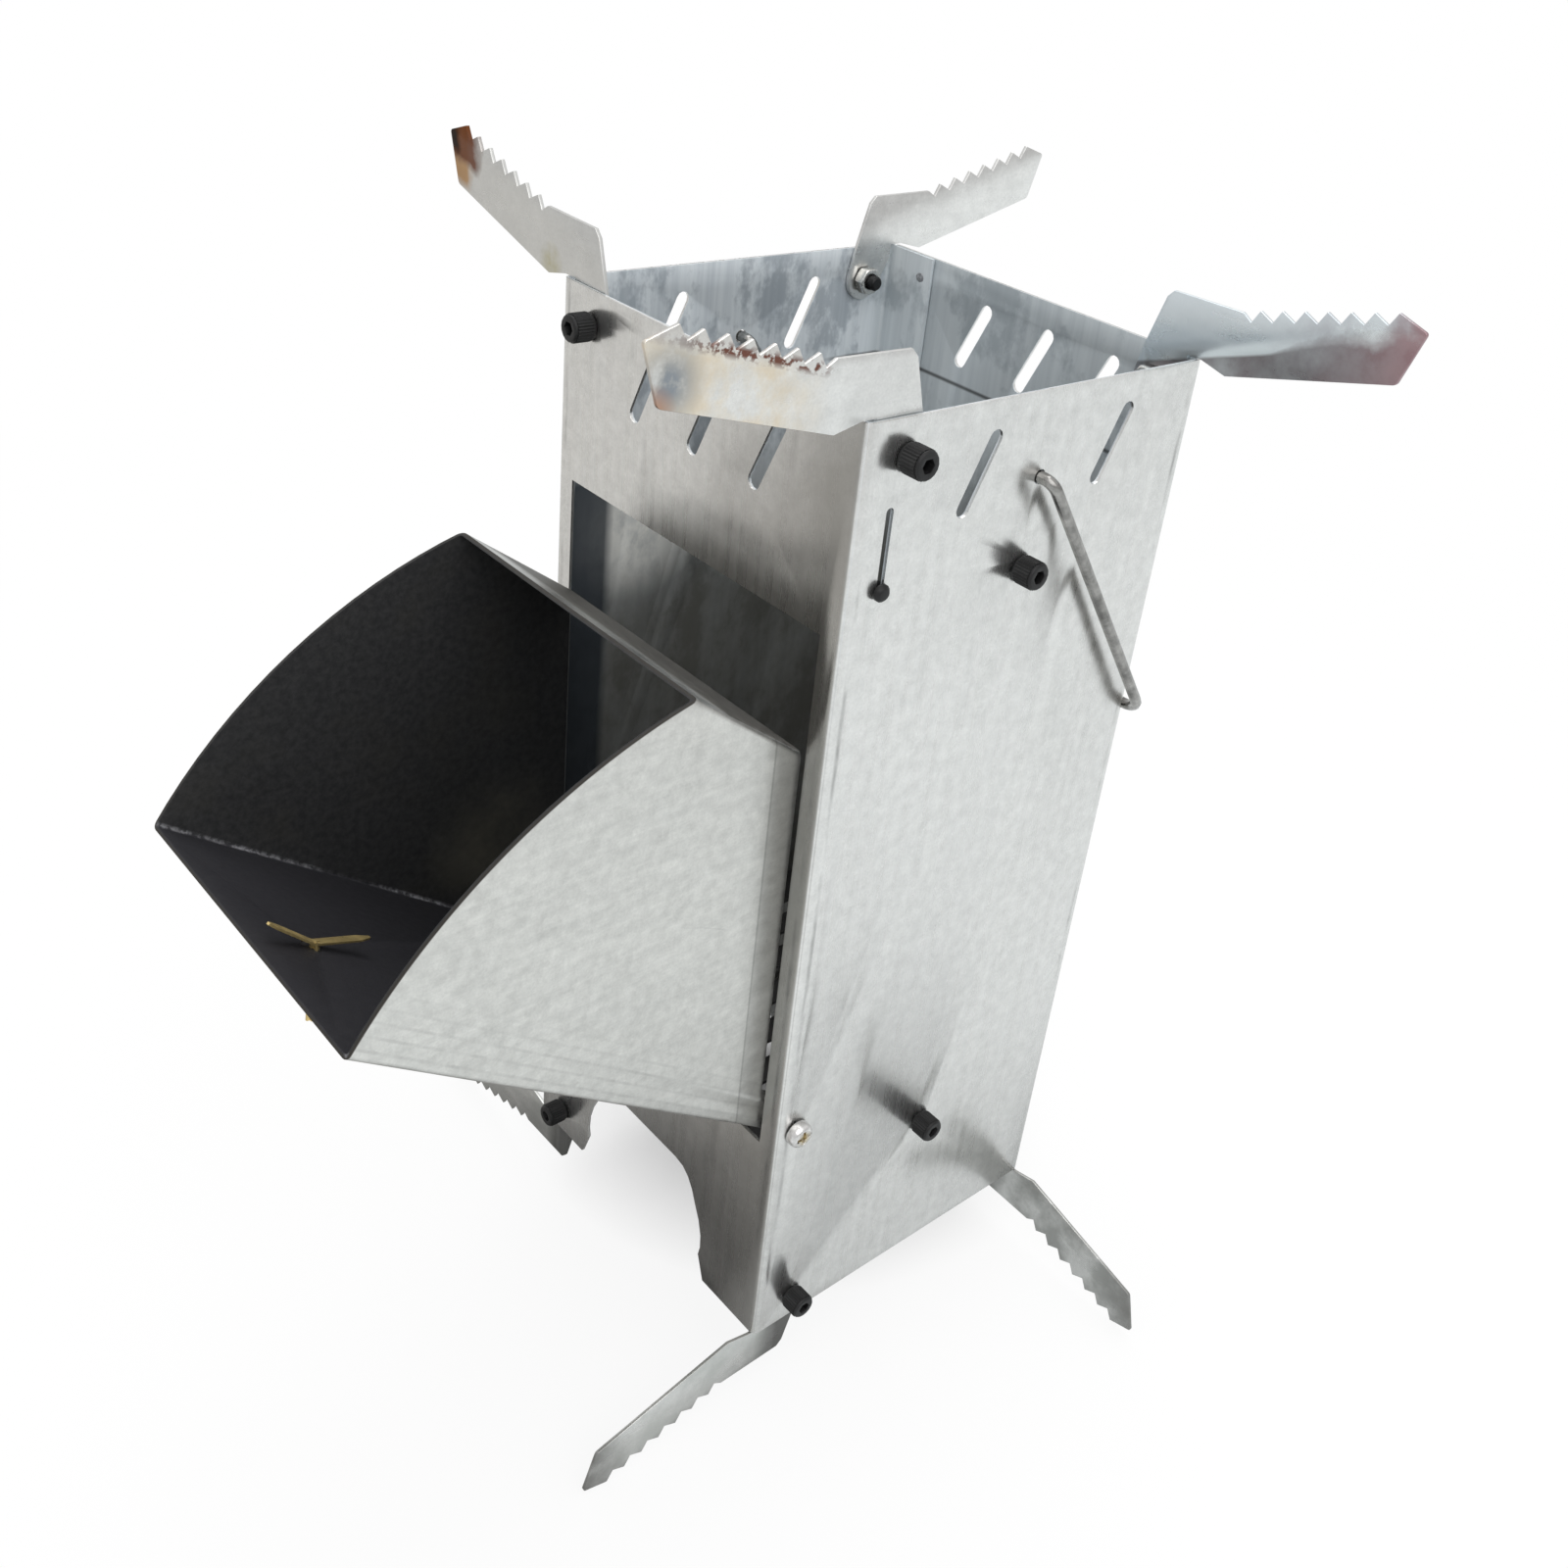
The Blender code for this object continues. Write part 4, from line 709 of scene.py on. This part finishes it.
# %% [markdown]
# ## Softening the solid model's edges
# The solids are exact but their edges are knife sharp, and real cut sheet always catches a thin
# line of light along its edge. A node's mesh is copied, its loose triangles are merged and its
# flat faces joined up, and a Bevel modifier then rounds every edge by a tenth of a millimetre
# or so. The result is kept as a plain mesh.

# %% Refine a copy of a node
SHEET_EDGE = 0.00012
EDGE_SEGMENTS = 2
BEVEL_FROM = math.radians(30)
SHARP_FROM = math.radians(40)
FLAT_WITHIN = math.radians(0.4)
MERGE_WITHIN = 1e-6


def add_piece(name, mesh, body, slot, material, *nodes):
    """Makes the finished object, hands it to its body and hides the solids it stands for."""
    mesh.name = name
    mesh.materials.clear()
    mesh.materials.append(material)
    piece = bpy.data.objects.new(name, mesh)
    link_object(piece)
    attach(piece, body)
    if nodes:
        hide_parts(*nodes)


def baked(piece):
    """The evaluated mesh of an object with its modifiers applied; the object is removed."""
    depsgraph = bpy.context.evaluated_depsgraph_get()
    mesh = bpy.data.meshes.new_from_object(piece.evaluated_get(depsgraph))
    bpy.data.objects.remove(piece, do_unlink=True)
    return mesh


def merged_copy(node):
    """A node's mesh with its triangles merged and its flat faces joined."""
    work = bmesh.new()
    work.from_mesh(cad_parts[node].data)
    bmesh.ops.remove_doubles(work, verts=work.verts, dist=MERGE_WITHIN)
    bmesh.ops.dissolve_limit(work, angle_limit=FLAT_WITHIN, verts=work.verts, edges=work.edges)
    mesh = bpy.data.meshes.new(node + "_copy")
    work.to_mesh(mesh)
    work.free()
    return mesh


def softened(mesh, width):
    """Rounds the edges of a mesh and shades it smooth."""
    blank = bpy.data.objects.new("blank", mesh)
    link_object(blank)
    bevel = blank.modifiers.new("edges", "BEVEL")
    bevel.width = width
    bevel.segments = EDGE_SEGMENTS
    bevel.limit_method = "ANGLE"
    bevel.angle_limit = BEVEL_FROM
    result = baked(blank)
    result.shade_smooth()
    result.set_sharp_from_angle(angle=SHARP_FROM)
    return result


SHEET_NODES = {
    "tower_shell": ("tower_sheet", "tower", "galvanised_sheet", shell_finish),
    "hopper": ("fuel_hopper", "hopper", "galvanised_sheet", hopper_finish),
    "fire_grate": ("slotted_grate", "tower", "sooty_steel", soot_finish),
}
for node, (name, body, slot, finish) in SHEET_NODES.items():
    mesh = softened(merged_copy(node), SHEET_EDGE)
    add_piece(name, mesh, body, slot, finish, node)
    print(name, len(mesh.polygons), "faces")

# %% Plates
for wall in WALLS:
    for node, name, finish in (("pot_arm_", "arm_", arm_finish), ("leg_", "leg_", leg_finish)):
        mesh = softened(merged_copy(node + wall), SHEET_EDGE)
        add_piece("toothed_" + name + wall, mesh, name + wall, "plate_steel", finish[wall],
                  node + wall)
print("eight toothed plates")

# %% [markdown]
# ## Screws, nuts and small hardware
# These are turned or pressed, so a wider rounding reads right. They are sorted by the start of
# their names, which says what kind of piece each is.

# %% Small hardware
HARDWARE = {
    **dict.fromkeys(("arm_screw", "leg_screw", "upper_screw", "grate_screw", "latch_pin"),
                    ("black_oxide", black_finish)),
    **dict.fromkeys(("arm_nut", "leg_nut", "upper_nut", "grate_nut", "hopper_nut"),
                    ("bright_zinc", zinc_finish)),
    "hopper_screw": ("bright_zinc", pan_finish), "hopper_spacer": ("bright_zinc", zinc_finish),
    "bail_handle": ("bail_steel", wire_finish), "brass_fastener": ("brass", brass_finish),
}
OWN_BODY = {"latch_pin": "latch", "bail_handle": "bail", "brass_fastener": "hopper"}
HARDWARE_EDGE = 0.00016
small_nodes = [(node, kind) for kind in HARDWARE for node in sorted(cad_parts)
               if node.startswith(kind)]
for node, kind in small_nodes:
    mesh = softened(merged_copy(node), HARDWARE_EDGE)
    add_piece("fine_" + node, mesh, OWN_BODY.get(kind, "tower"), *HARDWARE[kind], node)
print("small hardware", len(small_nodes))

# %% [markdown]
# ## One tree that sets a piece at many points
# Knurled heads, thread turns and weld spots all repeat: one small shape, set at a list of points
# and turned to face along each point's own direction. That is a Geometry Nodes tree with the
# shape made inside it from named sizes. The points are a mesh with no faces, and the direction
# is stored on them as an attribute.

# %% Geometry Nodes helpers
def new_geometry_tree(name, sizes, counts=()):
    """A tree with points in, geometry out, and one named input for each size and count."""
    tree = bpy.data.node_groups.new(name, "GeometryNodeTree")
    inputs = [("Points", "Geometry"), *((label, "Int") for label in counts),
              *((label, "Float") for label in sizes), ("Material", "Material")]
    for label, kind in inputs:
        tree.interface.new_socket(label, in_out="INPUT", socket_type="NodeSocket" + kind)
    tree.interface.new_socket("Geometry", in_out="OUTPUT", socket_type="NodeSocketGeometry")
    group_in = tree.nodes.new("NodeGroupInput")
    return tree, group_in.outputs


def joined_geometry(tree, *parts):
    node = tree.nodes.new("GeometryNodeJoinGeometry")
    for part in parts:
        tree.links.new(part, node.inputs[0])
    return node.outputs[0]


def set_on_points(tree, sizes, shape):
    """Ends a tree: the shape at every point, turned along its axis, as one real mesh."""
    axis = add_node(tree, "GeometryNodeInputNamedAttribute", {"Name": "axis"},
                    data_type="FLOAT_VECTOR").outputs["Attribute"]
    turn = add_node(tree, "FunctionNodeAlignRotationToVector", {"Vector": axis}, axis="Z")
    copies = add_node(tree, "GeometryNodeInstanceOnPoints",
                      {"Points": sizes["Points"], "Instance": shape,
                       "Rotation": turn.outputs["Rotation"]})
    real = add_node(tree, "GeometryNodeRealizeInstances",
                    {"Geometry": copies.outputs["Instances"]})
    painted = add_node(tree, "GeometryNodeSetMaterial",
                       {"Geometry": real.outputs["Geometry"], "Material": sizes["Material"]})
    output = tree.nodes.new("NodeGroupOutput")
    tree.links.new(painted.outputs["Geometry"], output.inputs["Geometry"])


def grown(name, tree, places, values, material):
    """Runs a tree on a list of (point, axis) pairs and returns the plain mesh."""
    points = bpy.data.meshes.new(name + "_points")
    points.from_pydata([tuple(point) for point, axis in places], [], [])
    directions = points.attributes.new("axis", "FLOAT_VECTOR", "POINT")
    for number, (point, axis) in enumerate(places):
        directions.data[number].vector = axis
    carrier = bpy.data.objects.new(name + "_points", points)
    link_object(carrier)
    modifier = carrier.modifiers.new(name, "NODES")
    modifier.node_group = tree
    sockets = {item.name: item.identifier for item in tree.interface.items_tree
               if item.item_type == "SOCKET" and item.in_out == "INPUT"}
    for label, value in values.items():
        modifier[sockets[label]] = value
    modifier[sockets["Material"]] = material
    return baked(carrier)


def screw_ends(prefixes):
    """The outer and inner end of each screw with its outward direction, from the solids' boxes."""
    ends = []
    for node in sorted(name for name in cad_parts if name.startswith(prefixes)):
        low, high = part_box(node)
        centre = (low + high) / 2
        length = [high[axis] - low[axis] for axis in range(3)]
        axis = length.index(max(length))
        side = 1.0 if centre[axis] > TOWER[axis] else -1.0
        outward = Vector([side if number == axis else 0.0 for number in range(3)])
        half = outward * length[axis] / 2
        ends.append((centre + half, centre - half, outward))
    return ends


CAP_SCREWS = ("arm_screw", "leg_screw", "upper_screw", "grate_screw")
cap_ends = screw_ends(CAP_SCREWS)
print("cap screws", len(cap_ends))

# %% [markdown]
# ## Knurled screw heads
# A cap screw's head is rolled with a knurl so that fingers can spin it in. The sleeve of ribs is
# a star-shaped ring: a star curve and a circle filled between, then drawn out along the head.

# %% Knurled sleeves
HEAD_RADIUS = 0.0035
HEAD_HEIGHT = 0.0062
sleeve, sizes = new_geometry_tree(
    "knurled_sleeve", ("Rib radius", "Groove radius", "Bore radius", "Length"), ("Ribs",))
star = add_node(sleeve, "GeometryNodeCurveStar",
                {"Points": sizes["Ribs"], "Inner Radius": sizes["Groove radius"],
                 "Outer Radius": sizes["Rib radius"]})
bore = add_node(sleeve, "GeometryNodeCurvePrimitiveCircle",
                {"Resolution": 32, "Radius": sizes["Bore radius"]})
ring = add_node(sleeve, "GeometryNodeFillCurve",
                {0: joined_geometry(sleeve, star.outputs["Curve"], bore.outputs["Curve"])},
                mode="TRIANGLES")
drawn = add_node(sleeve, "GeometryNodeExtrudeMesh",
                 {"Mesh": ring.outputs[0], "Offset Scale": sizes["Length"], "Individual": False},
                 mode="FACES")
base = add_node(sleeve, "GeometryNodeFlipFaces", {"Mesh": ring.outputs[0]})
closed = add_node(sleeve, "GeometryNodeMergeByDistance",
                  {"Geometry": joined_geometry(sleeve, drawn.outputs["Mesh"], base.outputs[0]),
                   "Distance": MERGE_WITHIN})
set_on_points(sleeve, sizes, closed.outputs[0])

KNURL_START = 0.0007
KNURL_RISE = 0.00022
KNURL_FOOT = 0.00002
KNURL_SINK = 0.00030
KNURL_RIBS = 30
sleeve_places = [(outer - outward * (HEAD_HEIGHT - KNURL_START), outward)
                 for outer, inner, outward in cap_ends]
knurl_mesh = grown("knurls", sleeve, sleeve_places,
                   {"Ribs": KNURL_RIBS, "Rib radius": HEAD_RADIUS + KNURL_RISE,
                    "Groove radius": HEAD_RADIUS + KNURL_FOOT,
                    "Bore radius": HEAD_RADIUS - KNURL_SINK,
                    "Length": HEAD_HEIGHT - 2.2 * KNURL_START}, black_finish)
add_piece("screw_head_knurls", knurl_mesh, "tower", "black_oxide", black_finish)
print("knurls", len(knurl_mesh.polygons), "faces")

# %% [markdown]
# ## Threads past the nuts
# Two or three turns of thread stand out past every nut. The thread is a spiral curve with a
# thin round section along it, which takes few faces.

# %% Thread turns
SCREW_RADIUS = 0.0020
THREAD_PITCH = 0.0007
THREAD_LENGTH = 0.0021
THREAD_INSET = 0.0004
THREAD_CREST = 0.00018
THREAD_SINK = 0.00005
thread, sizes = new_geometry_tree("thread_turns", ("Turns", "Radius", "Length", "Crest"))
spiral = add_node(thread, "GeometryNodeCurveSpiral",
                  {"Resolution": 20, "Rotations": sizes["Turns"], "Start Radius": sizes["Radius"],
                   "End Radius": sizes["Radius"], "Height": sizes["Length"]})
section = add_node(thread, "GeometryNodeCurvePrimitiveCircle",
                   {"Resolution": 6, "Radius": sizes["Crest"]})
turns = add_node(thread, "GeometryNodeCurveToMesh",
                 {"Curve": spiral.outputs["Curve"], "Profile Curve": section.outputs["Curve"],
                  "Fill Caps": True})
set_on_points(thread, sizes, turns.outputs["Mesh"])

thread_places = [(inner + outward * THREAD_INSET, outward) for outer, inner, outward in cap_ends]
thread_mesh = grown("threads", thread, thread_places,
                    {"Turns": THREAD_LENGTH / THREAD_PITCH, "Radius": SCREW_RADIUS - THREAD_SINK,
                     "Length": THREAD_LENGTH - THREAD_INSET, "Crest": THREAD_CREST}, black_finish)
add_piece("screw_threads", thread_mesh, "tower", "black_oxide", black_finish)
print("threads", len(thread_mesh.polygons), "faces")

# %% [markdown]
# ## Weld spots on the seam
# The sheet closes on itself with a flange inside the back wall. A spot welder leaves a dull
# grey dimple on both faces. Each spot is a sphere pressed nearly flat, just proud of the sheet.

# %% Weld spots
WELD_FROM_CORNER = 0.0146
WELD_FROM_RIM = 0.0062
WELD_SINK = 0.0003
weld, sizes = new_geometry_tree("weld_spots", ("Radius", "Flatness"))
ball = add_node(weld, "GeometryNodeMeshUVSphere",
                {"Segments": 24, "Rings": 8, "Radius": sizes["Radius"]})
flat = add_node(weld, "ShaderNodeCombineXYZ", {"X": 1.0, "Y": 0.8, "Z": sizes["Flatness"]})
pressed = add_node(weld, "GeometryNodeTransform",
                   {"Geometry": ball.outputs["Mesh"], "Scale": flat.outputs["Vector"]})
set_on_points(weld, sizes, pressed.outputs["Geometry"])

weld_places = []
for height in (HEIGHT - WELD_FROM_RIM, HEIGHT / 2, WELD_FROM_RIM):
    foot = TOWER + Vector((WELD_FROM_CORNER - HALF_WIDTH, 0, height))
    weld_places.append((foot + Vector((0, HALF_WIDTH, 0)), Vector((0, 1, 0))))
    inner_face = HALF_WIDTH - 2 * SHEET - WELD_SINK
    weld_places.append((foot + Vector((0, inner_face, 0)), Vector((0, -1, 0))))
weld_mesh = grown("welds", weld, weld_places, {"Radius": 0.0016, "Flatness": 0.06}, weld_finish)
weld_mesh.shade_smooth()
add_piece("seam_weld_spots", weld_mesh, "tower", "galvanised_sheet", weld_finish)
print("weld spots", len(weld_places))

# %% [markdown]
# ## Painted shade in the pin's hole
# The brass pin is loose in its hole, and the floor below would show white through the gap. A dark
# plug fills the hole as painted shade. The same flat spot serves: one of them lies inside the
# thickness of the hopper's floor, so it fills the hole only.

# %% Shade plug
PIN_FROM_MOUTH = 0.0187
pin_hole = (HOPPER_PIVOT + OUTWARD * (MOUTH_RADIUS - PIN_FROM_MOUTH)
            + UPWARD * (DUCT_LOW + SHEET / 2))
# Painted shade: a dark plug fills the pin's hole so that the floor does not show through it.
plug_mesh = grown("soot_plug", weld, [(pin_hole, UPWARD)], {"Radius": 0.0034, "Flatness": 0.12},
                  soot_finish)
plug_mesh.shade_smooth()
add_piece("pin_hole_soot", plug_mesh, "hopper", "sooty_steel", soot_finish)
print("pin hole at", [round(value, 4) for value in pin_hole])

# %% [markdown]
# ## Floor and light
# The stove stands on a plain white floor under even studio light. Bare metal shows what is
# around it more than it shows its own colour: the walls lean back from the camera's view, so
# what they mirror is the floor. The floor is white to the eye, but in reflections it is painted
# darker close to the stove and towards the front, which gives the walls their shading. Only the
# patch under the stove is lit by the lamps alone, so that the shadow shows, and its darker core
# is a painted shadow in the floor's colour.

# %% Floor
SHADOW_CENTRE = (-0.045, 0.045)
SHADOW_RADIUS = 0.105
SHADOW_CORE = (-0.048, 0.038)
SHADOW_CORE_RADIUS = 0.032
FLOOR_SIZE = 40.0
FLOOR_DROP = 0.0005
FLOOR_GREY = 0.86
floor_material, tree, shader, place = new_material("white_floor", (FLOOR_GREY,) * 3, 0.9, 0.0)
x, y = tower_axes(tree, place)[:2]
# Painted shadow: the floor's colour turns dark grey in a soft spot under the stove.
core = spot(tree, x, y, SHADOW_CORE, SHADOW_CORE_RADIUS)
feed(tree, shader, {"Base Color": mix(tree, core, grey(FLOOR_GREY), grey(0.26))})
distance = slant(tree, x, y)
front_level = remap(tree, distance, 0.07, 0.22, 0.12, 0.74)
other_level = remap(tree, distance, 0.07, 0.20, 0.74, 1.0)
other_share = calculate(tree, "MAXIMUM", remap(tree, x, 0.02, 0.075), remap(tree, y, -0.055, 0.0))
cloud = noise_at(tree, place, 3.0, (1, 1, 1), 2.0, 0.5)
side_level = plus(tree, times(tree, other_share, other_level),
                  times(tree, minus(tree, 1.0, other_share), front_level))
mirrored = times(tree, side_level, remap(tree, cloud, 0.35, 0.65, 0.92, 1.04))
mirror_tint = mix(tree, other_share, (1.0, 0.985, 0.955, 1.0), (0.955, 0.985, 0.99, 1.0))
paths = add_node(tree, "ShaderNodeLightPath").outputs
open_floor = minus(tree, 1.0, spot(tree, x, y, SHADOW_CENTRE, SHADOW_RADIUS))
near_white = remap(tree, distance, 0.25, 0.80, 0.88, 1.0)
glow = add_node(tree, "ShaderNodeEmission", {"Color": (1, 1, 1, 1), "Strength": 1.0})
white = add_node(tree, "ShaderNodeMixShader",
                 {0: times(tree, paths["Is Camera Ray"], open_floor, near_white),
                  1: shader.outputs[0], 2: glow.outputs[0]})
reflected = add_node(tree, "ShaderNodeEmission", {"Color": mirror_tint, "Strength": mirrored})
seen = add_node(tree, "ShaderNodeMixShader",
                {0: paths["Is Glossy Ray"], 1: white.outputs[0], 2: reflected.outputs[0]})
tree.links.new(seen.outputs[0], tree.nodes["Material Output"].inputs["Surface"])
floor_mesh = bpy.data.meshes.new("floor")
corners = [(x_side * FLOOR_SIZE, y_side * FLOOR_SIZE, 0.0)
           for x_side, y_side in ((-1, -1), (1, -1), (1, 1), (-1, 1))]
floor_mesh.from_pydata(corners, [], [(0, 1, 2, 3)])
floor_mesh.materials.append(floor_material)
floor = bpy.data.objects.new("floor", floor_mesh)
floor.location.z = CAD_BOX[0][2] - FLOOR_DROP
link_object(floor)

# %% World and lamps
world = bpy.data.worlds.new("studio")
bpy.context.scene.world = world
world.use_nodes = True
sky = world.node_tree
background = sky.nodes["Background"]
direction = add_node(sky, "ShaderNodeTexCoord").outputs["Generated"]
parts = add_node(sky, "ShaderNodeSeparateXYZ", {0: direction}).outputs
rise = remap(sky, parts["Z"], -0.3, 0.8, 0.50, 0.92)
view_rays = add_node(sky, "ShaderNodeLightPath").outputs["Is Camera Ray"]
sky.links.new(calculate(sky, "MAXIMUM", rise, view_rays), background.inputs["Strength"])
background.inputs["Color"].default_value = (1, 1, 1, 1)


def soft_lamp(name, place, aim, size, power):
    data = bpy.data.lights.new(name, "AREA")
    data.shape = "DISK"
    data.size = size
    data.energy = power
    lamp = bpy.data.objects.new(name, data)
    lamp.location = place
    lamp.rotation_euler = (Vector(aim) - Vector(place)).to_track_quat("-Z", "Y").to_euler()
    link_object(lamp)


soft_lamp("key", (1.2, -0.5, 1.6), (0, 0, 0.15), 2.2, 14.0)
soft_lamp("top", (-0.4, 0.3, 1.8), (0, 0, 0.15), 1.2, 8.0)
bpy.context.scene.view_settings.view_transform = "Standard"
print("world and two lamps")
